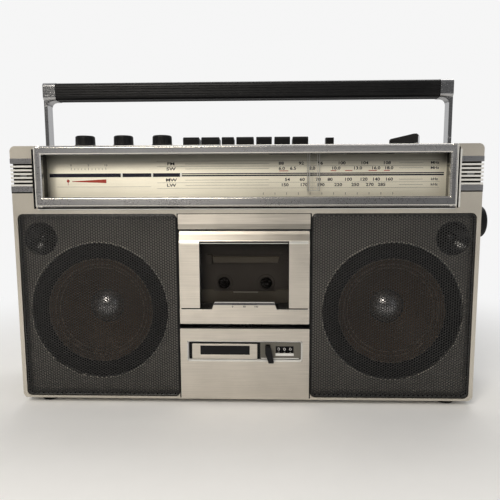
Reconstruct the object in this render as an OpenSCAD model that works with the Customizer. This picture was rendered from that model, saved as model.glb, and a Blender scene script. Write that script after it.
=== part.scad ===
// Portable stereo radio cassette recorder with a carrying handle, a wide tuning dial,
// two two-way speakers and a front-loading cassette deck.
// Every piece is drawn about the cabinet's middle plane, with y = 0 on the cabinet's front
// face and z = 0 on the floor. placed() then moves the whole set so that the origin lies on
// the floor under the middle of the object.

/* [Cabinet] */
// Width of the cabinet, end to end
cabinet_width = 450; // [440:1:465]
// Height of the cabinet without its feet
cabinet_height = 251; // [248:0.5:258]
// Depth of the cabinet, front face to back face
cabinet_depth = 114; // [112:1:130]
// Depth of the front half, up to the seam
front_depth = 56; // [55:0.5:57]
// Thickness of the moulded walls
wall = 2.6; // [2:0.1:3]
// Thickness of the front wall
front_wall = 3; // [2.6:0.1:3.4]
// Radius of the cabinet's long edges
edge_radius = 5; // [4:0.5:7]
// Height of the rubber feet
foot_height = 6; // [4:0.5:9]
// Radius of the rubber feet
foot_radius = 9; // [6:0.5:11]
// Width of the ribbed block at each end of the dial
end_block = 22; // [20:0.5:24]
// Pitch of the ribs on the end blocks
rib_pitch = 3.6; // [3.2:0.1:3.8]

/* [Dial] */
// Height of the chrome bezel
bezel_height = 58; // [56:0.5:60]
// How far the bezel stands out of the cabinet
bezel_reach = 6; // [4:0.5:8]
// Width of the bezel's side bars
bezel_side = 6.5; // [5:0.5:8]
// Width of the bezel's top bar
bezel_top = 8.3; // [7:0.1:9]
// Width of the bezel's bottom bar
bezel_bottom = 9.5; // [8:0.1:11]
// Thickness of the clear lens
lens_thickness = 2; // [1.5:0.1:2.6]
// Depth of the scale plate behind the cabinet's front face
dial_depth = 14; // [12:0.5:14]
// Place of the pointer on the dial, from the middle plane
pointer_x = 67; // [40:1:120]
// Width of the clear pointer
pointer_width = 12; // [8:0.5:14]
// Travel of the pointer to the left and to the right
pointer_travel = [-37, 78]; // [-40:1:80]
// How far the tuning knob stands out of the right side
tuning_knob_reach = 15; // [12:0.5:18]
// Radius of the tuning knob
tuning_knob_radius = 16; // [13:0.5:17]
// Radius of the tuning knob's shaft
tuning_shaft = 3; // [2.5:0.1:3.5]
// Radius of the tuning drum
drum_radius = 36.6; // [34:0.1:38]

/* [Speakers] */
// Width of the silver rim outside each grille
rim_side = 4; // [3:0.5:5]
// Height of the silver rim under each grille
rim_bottom = 2.2; // [2:0.1:3]
// Height of the silver rail between the grilles and the bezel
rail_height = 6.5; // [5:0.5:8]
// Depth of the baffle behind the cabinet's front face
baffle_depth = 7; // [6:0.5:8]
// Thickness of the baffle
baffle_thick = 3; // [2:0.5:3]
// Corner radius of the grilles
grille_radius = 5; // [3:0.5:8]
// Thickness of the grille's steel sheet
grille_sheet = 0.8; // [0.6:0.1:1.2]
// Pitch of the grille's holes
grille_pitch = 8; // [7:0.5:10]
// Radius of the grille's holes
grille_hole = 2.6; // [2:0.1:3]
// Radius of the woofer's opening in the baffle
woofer_radius = 69; // [66:0.5:70]
// Height of the woofer's axis above the grille's lower edge
woofer_rise = 86; // [84:0.5:92]
// Radius of the tweeter's opening in the baffle
tweeter_radius = 16.5; // [14:0.5:17]
// Distance of the tweeter's axis from the grille's outer edge
tweeter_inset = 19; // [19:0.5:21]
// Distance of the tweeter's axis below the grille's upper edge
tweeter_drop = 25; // [22:0.5:26]

/* [Centre column] */
// Width of the column between the grilles
centre_width = 130; // [128:0.5:132]
// Thickness of the rim between column and grille
rim_centre = 1; // [0.8:0.1:1.2]
// Thickness of the brushed trim plates
trim_thick = 1.2; // [0.8:0.1:2]
// Height of the title strip above the door
strip_height = 14.5; // [13:0.5:16]
// Height of the cassette door
door_height = 91; // [90:0.5:92]
// Gap under the cassette door, where its lower edge swings
door_gap = 5.4; // [5:0.1:7]
// Thickness of the door frame
door_thick = 6; // [5.5:0.1:6.2]
// Half width of the door's window
window_half = 43.5; // [40:0.5:45]
// Height of the door's lower plate
door_plate_height = 14.5; // [13:0.5:16]
// Height of the door's top rail
door_rail_height = 10; // [8:0.5:12]
// Distance between the cassette's two spindles
spindle_spacing = 42.5; // [40:0.5:45]
// Height of the spindles above the door's lower edge
spindle_rise = 37; // [36:0.5:39]
// Radius of the spindle shafts
spindle_shaft = 2; // [1.5:0.1:2.5]
// Radius of the capstan
capstan_radius = 1.5; // [1.2:0.1:2]
// Radius of the flywheel
flywheel_radius = 31; // [28:0.5:32]
// Travel of the head plate
head_travel = 5; // [3:0.5:5]
// Half width of the recess in the lower panel
recess_half = 57; // [55:0.5:57]
// Height of the recess in the lower panel
recess_height = 20.8; // [20.5:0.1:23]
// Radius of the counter's drums
counter_radius = 7.5; // [6.5:0.1:8]

/* [Controls] */
// Depth of the knobs' axes behind the cabinet's front face
knob_depth = 45.5; // [45:0.5:46]
// Radius of the round knobs
knob_radius = 10.75; // [9:0.25:12]
// Height of the round knobs
knob_height = 11.3; // [9:0.1:13]
// Radius of the knobs' shafts
knob_shaft = 3; // [2.5:0.1:3.2]
// Thickness of the top panel
panel_thick = 1.2; // [0.8:0.1:1.5]
// Widths of the seven keys, from the left
key_widths = [16.2, 18.4, 12.4, 17.8, 16.1, 16, 15.9]; // [10:0.1:20]
// Gap between two keys
key_gap = 2.65; // [2:0.05:2.7]
// Depth of the keys' front edge behind the cabinet's front face
key_front = 43; // [42:0.5:44]
// Length of the key caps, front to back
key_length = 22; // [18:0.5:22]
// Height of the key caps above the cabinet
key_rise = 11.5; // [9:0.5:14]
// Radius of the keys' common shaft
key_shaft_radius = 2; // [1.5:0.1:2.5]

/* [Handle and antenna] */
// Depth of the handle's pivots behind the cabinet's front face
handle_depth = 67; // [67:0.5:72]
// Drop of the handle's pivots below the cabinet's top
handle_drop = 21; // [20:0.5:24]
// Height of the handle's top above the cabinet
handle_rise = 70; // [62:0.5:80]
// Width of the handle's arms
arm_width = 3.8; // [3.4:0.1:5]
// Half thickness of the handle's arms
arm_half = 7; // [6:0.1:7.4]
// Height of the handle's grip
grip_height = 18.5; // [16:0.5:22]
// Radius of the handle's pivot pins
pivot_radius = 4; // [3:0.1:4.5]
// Radius of the antenna's outer tube
antenna_radius = 3.2; // [2.6:0.1:3.4]
// Length of the antenna's outer tube
antenna_length = 168; // [140:1:200]

/* [Power] */
// Width of the battery bay
bay_width = 247; // [240:1:248]
// Height of the battery bay
bay_height = 70; // [68:0.5:72]
// Depth of the battery bay in front of its cover
bay_depth = 36; // [34:0.5:38]
// Radius of the headphone socket's bore
jack_radius = 3.25; // [3.2:0.05:3.4]

/* [Clearances] */
// Gap round a piece that is seated
fit = 0.2; // [0.1:0.05:0.3]
// Radial clearance of a shaft that turns
run = 0.05; // [0.03:0.01:0.1]
// Gap round a piece that slides
glide = 0.3; // [0.2:0.05:0.4]

/* [Hidden] */
$fn = 64;
// Overlap of a cut past the face that it opens
over = 1;

silver = [0.66, 0.64, 0.60];
graphite = [0.25, 0.25, 0.26];
chrome = [0.80, 0.80, 0.81];
aluminium = [0.72, 0.70, 0.66];
black = [0.07, 0.07, 0.075];
steel = [0.55, 0.56, 0.58];
clear = [0.85, 0.90, 0.92, 0.35];
smoke = [0.12, 0.11, 0.11, 0.6];

// Cabinet
half_w = cabinet_width / 2;
base_z = foot_height;
top_z = foot_height + cabinet_height;
seam_y = front_depth;
back_y = cabinet_depth;
back_in = back_y - wall;
ceiling_z = top_z - wall;
floor_z = base_z + wall;
inner_radius = max(edge_radius - wall, 0.5);
foot_inset_x = 22;
foot_inset_y = 16;

// Dial
bezel_half = half_w - end_block - 3.5;
bezel_top_z = top_z - 0.5;
bezel_bottom_z = bezel_top_z - bezel_height;
tunnel_margin = 2.3;
tunnel_wall = 2;
tunnel_half = bezel_half - bezel_side + tunnel_margin;
tunnel_low = bezel_bottom_z + bezel_bottom - tunnel_margin;
tunnel_high = bezel_top_z - bezel_top + tunnel_margin;
scale_thick = 1.2;
scale_back = dial_depth + scale_thick;
slit_low = bezel_top_z - bezel_top + 0.3;
slit_high = tunnel_high - 0.2;
stem_z = [slit_low + glide, slit_high - glide];
carriage_half = 5;
cord_radius = 0.4;
cord_knot = 0.5;
cord_y = scale_back + 3.1;
cord_z = stem_z[0] - 1.5;
guide_radius = 2.5;
guide_x = [pointer_x + pointer_travel[0] - 8, half_w - 35];
guide_wrap = guide_radius + cord_knot + 0.1;
guide_z = cord_z - guide_wrap;
drum_x = half_w - 95;
drum_z = bezel_bottom_z + 12;
drum_y = [scale_back + 5.4, scale_back + 9.4];
drum_groove_y = (drum_y[0] + drum_y[1]) / 2;
tuning_y = 36;
tuning_z = bezel_bottom_z - 17;
pulley_radius = 5;
pulley_x = half_w - 19.5;
tuner_plate_y = [drum_y[1] + 1.5, drum_y[1] + 3];

// Speakers
grille_x = [centre_width / 2, half_w - rim_side];
grille_z = [base_z + rim_bottom, bezel_bottom_z - rail_height];
baffle_back = baffle_depth + baffle_thick;
grille_front = 0.6;
woofer_x = (grille_x[0] + grille_x[1]) / 2 + 2.6;
woofer_z = grille_z[0] + woofer_rise;
flange_radius = woofer_radius + 3.5;
cone_rim = woofer_radius - 0.5;
cone_neck = 17;
magnet_radius = 36;
tweeter_x = grille_x[1] - tweeter_inset;
tweeter_z = grille_z[1] - tweeter_drop;
tweeter_flange = tweeter_radius + 2;

// Centre column
opening_half = centre_width / 2 - rim_centre;
trim_half = opening_half - 0.3;
door_half = opening_half - 0.8;
strip_z = [grille_z[1] - 0.5 - strip_height, grille_z[1] - 0.5];
door_z = [strip_z[0] - 2 - door_height, strip_z[0] - 2];
opening_z = [door_z[0] - door_gap + 0.9, strip_z[0] - 0.5];
lower_z = [base_z + 1.5, door_z[0] - door_gap];
door_front = -2;
door_back = door_front + door_thick;
plate_top = door_z[0] + door_plate_height;
window_z = [plate_top - 0.3, door_z[1] - door_rail_height];
tab_z = plate_top + 7.3;
hinge_y = 8;
hinge_z = door_z[0] + 10;
hinge_pin = 2;
bracket_x = [59.4, 61] + [1, 1] * (door_half - 63.2);
spindle_x = spindle_spacing / 2;
spindle_z = door_z[0] + spindle_rise;

// Deck mechanism
chassis_y = [24, 25.6];
chassis_half = 58;
chassis_z = [door_z[0] - 22, door_z[1] - 3];
cheek_x = [66, 67.5];
post_x = 68.5;
post_radius = 3;
post_z = [door_z[0] - 8, strip_z[1] - 5.5];
capstan_x = 31.5;
capstan_z = door_z[0] + 13;
flywheel_y = [32, 38];
roller_radius = 6;
roller_z = capstan_z - capstan_radius - roller_radius - glide - head_travel;
motor_x = -35;
motor_z = door_z[0] - 12;
motor_radius = 15;
motor_front = 39;
pulley_groove = 4;
belt_thick = 1.2;
belt_y = (flywheel_y[0] + flywheel_y[1]) / 2;
head_plate_y = [22.2, 23.7];
head_plate_z = [door_z[0] - 22, door_z[0]];
cassette_half = 50.2;

// Counter and badge recess
recess_z = [lower_z[1] - 12.3 - recess_height, lower_z[1] - 12.3];
insert_y = [front_wall, front_wall + 1.5];
badge_x = [-52.4, 12.7];
badge_z = [recess_z[0] + 1.9, recess_z[1] - 3];
counter_z = (recess_z[0] + recess_z[1]) / 2 + 0.6;
counter_window_half = 3.5;
counter_y = insert_y[0] + 0.8 + counter_radius;
counter_shaft = 1.5;
drum_width = 5.2;
drum_start = 31.2;
drum_step = 5.8;
reset_x = [21, 25];
reset_half = 5;

// Controls
deck_z = top_z + panel_thick;
knob_x = -half_w * [0.7404, 0.5622, 0.3831];
band_x = half_w * 0.72;
knob_gap = 0.8;
pot_radius = 9;
pot_depth = 14;
bush_radius = 4.5;
switch_x = half_w * 0.3822;
switch_travel = 4;
switch_cap = [8, 10, 8.2];
function total(list, count) = count == 0 ? 0 : list[count - 1] + total(list, count - 1);
key_count = len(key_widths);
keys_half = (total(key_widths, key_count) + (key_count - 1) * key_gap) / 2;
function key_x(i) = -keys_half + total(key_widths, i) + i * key_gap + key_widths[i] / 2;
key_back = key_front + key_length;
rebate_y = back_y - 18;
cheek_back = rebate_y - wall - 0.6;
key_hub_y = cheek_back - 3.8;
key_hub_z = top_z - 17;
key_slot_y = [key_front - 2.3, key_back + 0.8];
key_slot_half = keys_half + 1;

// Handle and antenna
handle_z = top_z - handle_drop;
arm_outset = 10.4;
arm_x = [half_w - arm_outset - arm_width, half_w - arm_outset];
slot_x = [arm_x[0] - 1.5, arm_x[1] + 1.5];
slot_y = handle_depth - arm_half - 1.4;
slot_z = handle_z - arm_half - 3;
bracket_width = 10.3;
grip_half = arm_x[0] - bracket_width;
grip_z = [top_z + handle_rise - grip_height, top_z + handle_rise];
grip_thick = 10.5;
rebate_x = half_w - 25;
rebate_z = top_z - 11;
antenna_x = rebate_x - 10;
antenna_y = back_y - 7.5;
antenna_z = rebate_z + 6.5;
antenna_pin = 1.5;
antenna_stub = 3;
antenna_flange = 6.2;
antenna_rod = 1.8;

// Power and inner pieces
cover_gap = 0.4;
bay_wall = 2;
bay_rim = bay_wall + 1.2;
bay_z = [floor_z + bay_wall, floor_z + bay_wall + bay_height];
bay_y = back_in - bay_depth;
board_y = [back_in - 37.4, back_in - 35.8];
board_half = 120;
board_z = [bay_z[1] + 11, bay_z[1] + 94];
board_post_inset = 8;
jack_inset = 25;
jack_width = 50;
jack_x = [jack_inset - half_w, jack_inset + jack_width - half_w];
jack_z = [100, 160];
jack_plate_y = back_in - 2.6;
jack_bore = 14;
screw_x = half_w - wall - 4;
screw_z = [floor_z + 5, bezel_bottom_z + 2];
screw_shank = 1.6;
screw_head = 3.5;
screw_seat_y = back_y - 6.2;
screw_bite = 12;

// Moves a piece from the cabinet's own axes to the origin under the middle of the object
module placed() translate([-tuning_knob_reach / 2, -(back_y - bezel_reach) / 2, 0]) children();

// Extrusions along each axis: the outline is drawn in (y, z), (x, z) or (x, y)
module along_x(x) translate([x[0], 0, 0]) rotate([90, 0, 90]) linear_extrude(x[1] - x[0]) children();
module along_y(y) translate([0, y[1], 0]) rotate([90, 0, 0]) linear_extrude(y[1] - y[0]) children();
module along_z(z) translate([0, 0, z[0]]) linear_extrude(z[1] - z[0]) children();

// Box between two limits on each axis
module block(x, y, z) translate([x[0], y[0], z[0]]) cube([x[1] - x[0], y[1] - y[0], z[1] - z[0]]);

// Round bars along each axis
module rod_x(x, y, z, r) translate([x[0], y, z]) rotate([0, 90, 0]) cylinder(h = x[1] - x[0], r = r);
module rod_y(x, y, z, r) translate([x, y[1], z]) rotate([90, 0, 0]) cylinder(h = y[1] - y[0], r = r);
module rod_z(x, y, z, r) translate([x, y, z[0]]) cylinder(h = z[1] - z[0], r = r);

// Turned shapes: the outline is drawn in (radius, distance along the axis)
module turned_x(x, y, z) translate([x, y, z]) rotate([0, 90, 0]) rotate_extrude() children();
module turned_y(x, y, z) translate([x, y, z]) rotate([-90, 0, 0]) rotate_extrude() children();
module turned_z(x, y, z) translate([x, y, z]) rotate_extrude() children();

// Rectangle with round corners between limits on two axes
module round_rect(a, b, r) {
  translate([a[0] + r, b[0]]) square([a[1] - a[0] - 2 * r, b[1] - b[0]]);
  translate([a[0], b[0] + r]) square([a[1] - a[0], b[1] - b[0] - 2 * r]);
  for (u = [a[0] + r, a[1] - r], v = [b[0] + r, b[1] - r]) translate([u, v]) circle(r);
}

// Range widened by a margin at both ends
function grown(a, m) = [a[0] - m, a[1] + m];

module both_sides() {
  children();
  mirror([1, 0, 0]) children();
}

// Front half of the cabinet: end blocks, baffles, dial tunnel and posts
module front_cabinet() color(silver) difference() {
  union() {
    difference() {
      along_y([0, seam_y]) round_rect([-half_w, half_w], [base_z, top_z], edge_radius);
      along_y([front_wall, seam_y + over])
        round_rect([wall - half_w, half_w - wall], [floor_z, ceiling_z], inner_radius);
    }
    both_sides() {
      block([opening_half, half_w - wall / 2], [front_wall / 2, baffle_back],
        [base_z + wall / 2, grille_z[1] + wall]);
      for (z = post_z) rod_y(post_x, [baffle_back - over, chassis_y[0]], z, post_radius);
      for (z = screw_z) rod_y(screw_x, [seam_y - screw_bite - 2, seam_y], z, 5);
    }
    block([-tunnel_half - tunnel_wall, tunnel_half + tunnel_wall], [front_wall / 2, dial_depth],
      [tunnel_low - tunnel_wall, tunnel_high + tunnel_wall]);
    for (x = tuner_posts) rod_y(x, [baffle_back - over, tuner_plate_y[0]], tuner_post_z, post_radius);
    rod_x([half_w - wall - 10, half_w - wall / 2], tuning_y, tuning_z, tuning_shaft + 3);
  }
  both_sides() {
    along_y([-over, baffle_depth]) round_rect(grille_x, grille_z, grille_radius);
    rod_y(woofer_x, [baffle_depth - over, baffle_back + over], woofer_z, woofer_radius);
    rod_y(tweeter_x, [baffle_depth - over, baffle_back + over], tweeter_z, tweeter_radius);
    for (z = screw_z) rod_y(screw_x, [seam_y - screw_bite, seam_y + over], z, screw_shank + run);
    microphone_ribs();
  }
  block([-tunnel_half, tunnel_half], [-over, dial_depth + over], [tunnel_low, tunnel_high]);
  block([-opening_half, opening_half], [-over, front_wall + over], opening_z);
  block([-recess_half - 1, recess_half + 1], [-over, front_wall + over], grown(recess_z, 1));
  for (x = concat(knob_x, [band_x]))
    rod_z(x, knob_depth, [ceiling_z - over, top_z + over], bush_radius + fit);
  switch_slot(ceiling_z - over, top_z + over);
  block([-key_slot_half, key_slot_half], [key_slot_y[0], seam_y + over], [ceiling_z - over, top_z + over]);
  rod_x([half_w - wall - 10 - over, half_w + over], tuning_y, tuning_z, tuning_shaft + run);
}

// Grooves between the ribs of an end block, with the slot of its microphone
rib_low = bezel_bottom_z + 18.5;
rib_count = 6;
rib_groove = 1.7;
rib_depth = 1.8;
mic_x = half_w - end_block / 2;
mic_z = rib_low + 3 * rib_pitch;
module microphone_ribs() {
  for (i = [0 : rib_count]) {
    z = rib_low + i * rib_pitch;
    block([half_w - end_block, half_w + over], [-over, rib_depth], [z, z + rib_groove]);
    block([half_w - rib_depth, half_w + over], [-over, 3 * rib_depth], [z, z + rib_groove]);
  }
  block([mic_x - 3.5, mic_x + 3.5], [-over, front_wall + over], [mic_z, mic_z + rib_groove]);
}

// Slot that the function switch slides in
module switch_slot(z0, z1) block([switch_x - switch_travel - 3 - glide, switch_x + switch_travel + 3 + glide],
  [knob_depth - 2 - glide, knob_depth + 2 + glide], [z0, z1]);

// Posts that carry the tuning capacitor's plate, left and right of the tuning drum
tuner_posts = [drum_x - drum_radius - 5.4, drum_x + drum_radius + 3.4];
tuner_post_z = grille_z[1] - 5.5;

// Rear half of the cabinet: battery bay, handle slots, antenna rebate, vents and socket window
module rear_cabinet() color(graphite) {
  difference() {
    union() {
      difference() {
        along_y([seam_y, back_y]) round_rect([-half_w, half_w], [base_z, top_z], edge_radius);
        along_y([seam_y - over, back_in])
          round_rect([wall - half_w, half_w - wall], [floor_z, ceiling_z], inner_radius);
      }
      block([-bay_width / 2 - bay_rim, bay_width / 2 + bay_rim], [bay_y - bay_wall, back_in + over],
        [floor_z - wall / 2, bay_z[1] + bay_rim]);
      block([-rebate_x - wall, rebate_x + wall], [rebate_y - wall, back_in + over],
        [rebate_z - wall, ceiling_z + over]);
      rod_z(antenna_x, antenna_y, [rebate_z - 8, rebate_z - wall / 2], antenna_stub + 2.5);
      both_sides() {
        block([slot_x[0] - wall, half_w - wall / 2], [seam_y, back_in + over], [slot_z - wall,
          ceiling_z + over]);
        for (z = screw_z) rod_y(screw_x, [seam_y, back_in + over], z, 6);
        for (z = board_posts_z)
          rod_y(board_half - board_post_inset, [board_y[1], back_in + over], z, 4);
      }
    }
    block([-bay_width / 2, bay_width / 2], [bay_y, back_y + over], bay_z);
    block([-bay_width / 2 - bay_wall, bay_width / 2 + bay_wall], [back_in, back_y + over], grown(bay_z,
      bay_wall));
    block([-rebate_x, rebate_x], [rebate_y, back_y + over], [rebate_z, top_z + over]);
    rod_z(antenna_x, antenna_y, [rebate_z - 8 - over, rebate_z + over], antenna_stub + run);
    both_sides() {
      block(slot_x, [slot_y, back_y + over], [slot_z, top_z + over]);
      for (z = screw_z) {
        rod_y(screw_x, [seam_y - over, back_y + over], z, screw_shank + 0.4);
        rod_y(screw_x, [screw_seat_y, back_y + over], z, screw_head + 0.5);
      }
    }
    block([-key_slot_half, key_slot_half], [seam_y - over, key_slot_y[1]], [ceiling_z - over, top_z + over]);
    along_y([back_in - over, back_y + over]) round_rect(jack_x, jack_z, 3);
    for (i = [0 : vent_count - 1]) vent(i);
  }
  both_sides() rod_x(slot_x, handle_depth, handle_z, pivot_radius);
}
board_posts_z = [board_z[0] + board_post_inset, board_z[1] - board_post_inset];

// One upright vent slot in the back, above the battery bay
vent_count = 15;
vent_pitch = 10;
module vent(i) {
  x = (i - (vent_count - 1) / 2) * vent_pitch;
  along_y([back_in - over, back_y + over])
    round_rect([x - 1.5, x + 1.5], [bay_z[1] + 105, bay_z[1] + 140], 1.4);
}

// Flat panel on top, with the openings for the controls
module top_panel() color(graphite) difference() {
  along_z([top_z, deck_z]) round_rect([-bezel_half + 3, bezel_half - 3], [18, rebate_y - wall], 3);
  block([-key_slot_half, key_slot_half], key_slot_y, [top_z - over, deck_z + over]);
  for (x = concat(knob_x, [band_x])) rod_z(x, knob_depth, [top_z - over, deck_z + over], knob_shaft + 0.6);
  switch_slot(top_z - over, deck_z + over);
}

// Cover of the battery bay, with a thumb recess
module battery_cover() color(graphite) difference() {
  block([-bay_width / 2 - bay_wall + cover_gap, bay_width / 2 + bay_wall - cover_gap], [back_in, back_y],
    grown(bay_z, bay_wall - cover_gap));
  along_y([back_y - 1.2, back_y + over])
    round_rect([-12, 12], [bay_z[1] - 14, bay_z[1] - 4], 3);
  for (i = [0 : 4])
    block([-bay_width / 2 + 10, bay_width / 2 - 10], [back_y - 0.6, back_y + over],
      [bay_z[0] + 8 + i * 8, bay_z[0] + 10 + i * 8]);
}

// Four rubber feet
module rubber_feet() color(black) for (s = [-1, 1], y = [foot_inset_y, back_y - foot_inset_y])
  turned_z(s * (half_w - foot_inset_x), y, 0)
    polygon([[0, 0], [foot_radius - 1.5, 0], [foot_radius, 1.5], [foot_radius, foot_height], [0, foot_height]]);

// Four screws that hold the two halves together from behind
module cabinet_screws() color(steel) both_sides() for (z = screw_z) difference() {
  union() {
    rod_y(screw_x, [screw_seat_y, screw_seat_y + 2.4], z, screw_head);
    rod_y(screw_x, [seam_y - screw_bite + 1, screw_seat_y + over], z, screw_shank);
  }
  for (a = [0, 90]) translate([screw_x, screw_seat_y + 2.4, z]) rotate([0, a, 0]) cube([4, 2, 0.9],
    center = true);
}

// Chrome frame round the dial: nearly flat faces with a chamfer outside and inside
bezel_chamfer = 1.6;
module bezel_profile(bar) polygon([[0, 0], [0, bezel_chamfer - bezel_reach], [bezel_chamfer, -bezel_reach],
  [bar - 1, -bezel_reach + 0.7], [bar, -bezel_reach + bezel_chamfer], [bar, 0]]);
module dial_bezel() color(chrome) {
  along_x([-bezel_half, bezel_half]) {
    translate([0, bezel_top_z]) rotate(-90) bezel_profile(bezel_top);
    translate([0, bezel_bottom_z]) rotate(-90) mirror([1, 0]) bezel_profile(bezel_bottom);
  }
  along_z([bezel_bottom_z, bezel_top_z]) {
    translate([-bezel_half, 0]) bezel_profile(bezel_side);
    translate([bezel_half, 0]) mirror([1, 0]) bezel_profile(bezel_side);
  }
}

// Clear lens behind the bezel
module dial_lens() color(clear) block([fit - tunnel_half, tunnel_half - fit], [fit, fit + lens_thickness],
  grown([tunnel_low, tunnel_high], -fit));

// Scale plate with the pointer's slit and two guide pegs for the cord
module dial_scale() color(aluminium) {
  difference() {
    block([-tunnel_half - tunnel_wall + fit, tunnel_half + tunnel_wall - fit], [dial_depth, scale_back],
      grown([tunnel_low, tunnel_high], tunnel_wall - fit));
    block(grown(pointer_x * [1, 1] + pointer_travel, carriage_half + 1), [dial_depth - over, scale_back + over],
      [slit_low, slit_high]);
  }
  for (x = guide_x) rod_y(x, [scale_back - 0.5, cord_y + 1.5], guide_z, guide_radius);
}

// Clear pointer that hangs in front of the scale, with its clip behind
module dial_pointer() color(clear) {
  difference() {
    union() {
      block([pointer_x - pointer_width / 2, pointer_x + pointer_width / 2], [dial_depth - 5.5,
        dial_depth - 0.5],
        [tunnel_low + 7.5, stem_z[1]]);
      block([pointer_x - carriage_half, pointer_x + carriage_half], [dial_depth - 3,
        scale_back + glide + 2], stem_z);
      block([pointer_x - carriage_half, pointer_x + carriage_half], [scale_back + glide, cord_y + 1.5],
        [cord_z - 2, stem_z[1]]);
    }
    rod_x(pointer_x * [1, 1] + [-carriage_half - over, carriage_half + over], cord_y, cord_z,
      cord_radius + glide);
    block([pointer_x - 0.5, pointer_x + 0.5], [dial_depth - 1.5, dial_depth], [tunnel_low, slit_low - 1]);
  }
}

// Straight stretch of the dial cord between two points, with round ends
module cord_run(a, b) {
  d = b - a;
  translate(a) rotate([0, acos(d[2] / norm(d)), atan2(d[1], d[0])]) cylinder(h = norm(d),
    r = cord_radius, $fn = 16);
  for (p = [a, b]) translate(p) sphere(cord_knot, $fn = 16);
}

// Bend of the dial cord round a circle, between two angles seen from the front
module cord_bend(centre, y, r, from, to) translate([centre[0], y, centre[1]]) rotate([90, 0, 0]) rotate(from)
  rotate_extrude(angle = to - from) translate([r, 0]) circle(cord_radius, $fn = 16);

// Angle on a circle where a straight run to a point leaves it, and where a run to a second circle does
function leave_angle(c, p, r, side) = atan2(p[1] - c[1], p[0] - c[0]) + side * acos(r / norm(p - c));
function bridge_angle(c, d, r, q) = atan2(d[1] - c[1], d[0] - c[0]) - acos((r - q) / norm(d - c));
function on_circle(c, r, a, y) = [c[0] + r * cos(a), y, c[1] + r * sin(a)];

// Dial cord: round the tuning shaft, over the two guide pegs and under the tuning drum
cord_wrap = drum_radius - 1 + cord_knot + 0.3;
wrap_steps = 4;
pulley_wrap = pulley_radius + cord_knot + 0.2;
module dial_cord() color(black) {
  left = [guide_x[0], guide_z];
  right = [guide_x[1], guide_z];
  drum = [drum_x, drum_z];
  pulley_top = [pulley_x, tuning_y, tuning_z + pulley_wrap];
  pulley_front = [pulley_x, tuning_y - pulley_wrap, tuning_z];
  right_angle = leave_angle(right, [pulley_x, tuning_z], guide_wrap, 1);
  left_angle = bridge_angle(left, drum, guide_wrap, cord_wrap);
  drum_angle = leave_angle(drum, [pulley_x, tuning_z + pulley_wrap], cord_wrap, -1);
  cord_run([left[0], cord_y, cord_z], [right[0], cord_y, cord_z]);
  cord_run(on_circle(right, guide_wrap, right_angle, cord_y), pulley_front);
  cord_run(on_circle(left, guide_wrap, left_angle, cord_y), on_circle(drum, cord_wrap, left_angle,
    drum_groove_y));
  cord_run(on_circle(drum, cord_wrap, drum_angle, drum_groove_y), pulley_top);
  cord_bend(right, cord_y, guide_wrap, right_angle, 90);
  cord_bend(left, cord_y, guide_wrap, 90, left_angle + 360);
  for (i = [0:wrap_steps - 1]) {
    step = (drum_angle - left_angle) / wrap_steps;
    cord_run(on_circle(drum, cord_wrap, left_angle + step * i, drum_groove_y),
             on_circle(drum, cord_wrap, left_angle + step * (i + 1), drum_groove_y));
  }
  turned_x(pulley_x, tuning_y, tuning_z) translate([pulley_wrap, 0]) circle(cord_radius, $fn = 16);
}

// Grooved drum on the tuning capacitor's shaft
module tuning_drum() color([0.85, 0.84, 0.80]) difference() {
  turned_y(drum_x, drum_y[0], drum_z) {
    w = drum_y[1] - drum_y[0];
    polygon([[0, 0], [drum_radius - 0.5, 0], [drum_radius - 0.5, 1], [drum_radius - 1, 1.4],
      [drum_radius - 1, w - 1.4],
      [drum_radius - 0.5, w - 1], [drum_radius - 0.5, w], [tuning_shaft, w], [tuning_shaft, w + 16], [0,
        w + 16]]);
  }
  for (a = [0 : 60 : 300]) translate([drum_x, 0, drum_z]) rotate([0, a, 0])
    rod_y(drum_radius * 0.58, grown(drum_y, over), 0, drum_radius * 0.2);
}

// Variable capacitor on a plate behind the dial
module tuning_capacitor() color(steel) difference() {
  union() {
    block([tuner_posts[0] - 4, tuner_posts[1] + 1], tuner_plate_y, [tuner_post_z - 4, drum_z + 13]);
    block([drum_x - 12, drum_x + 12], [tuner_plate_y[1] - 0.2, tuner_plate_y[1] + 17], [drum_z - 12,
      drum_z + 12]);
  }
  rod_y(drum_x, [tuner_plate_y[0] - over, tuner_plate_y[1] + 15], drum_z, tuning_shaft + run);
}

// Side tuning knob with its shaft and cord pulley
module tuning_knob() color(black) difference() {
  turned_x(half_w, tuning_y, tuning_z) polygon([
    [0, -23], [tuning_shaft, -23], [tuning_shaft, -20.5], [pulley_radius, -20.5], [pulley_radius, -16],
    [tuning_shaft, -16], [tuning_shaft, 1], [tuning_knob_radius - 0.6, 1], [tuning_knob_radius, 1.8],
    [tuning_knob_radius - 0.5, tuning_knob_reach - 1.2], [tuning_knob_radius - 1.7, tuning_knob_reach],
    [tuning_knob_radius - 4, tuning_knob_reach], [tuning_knob_radius - 5, tuning_knob_reach - 0.8],
    [0, tuning_knob_reach - 0.8]]);
  for (a = [0 : 10 : 350]) translate([half_w, tuning_y, tuning_z]) rotate([a, 0, 0])
    rod_x([2.5, tuning_knob_reach - 2], 0, tuning_knob_radius + 0.35, 0.8);
}

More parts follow.
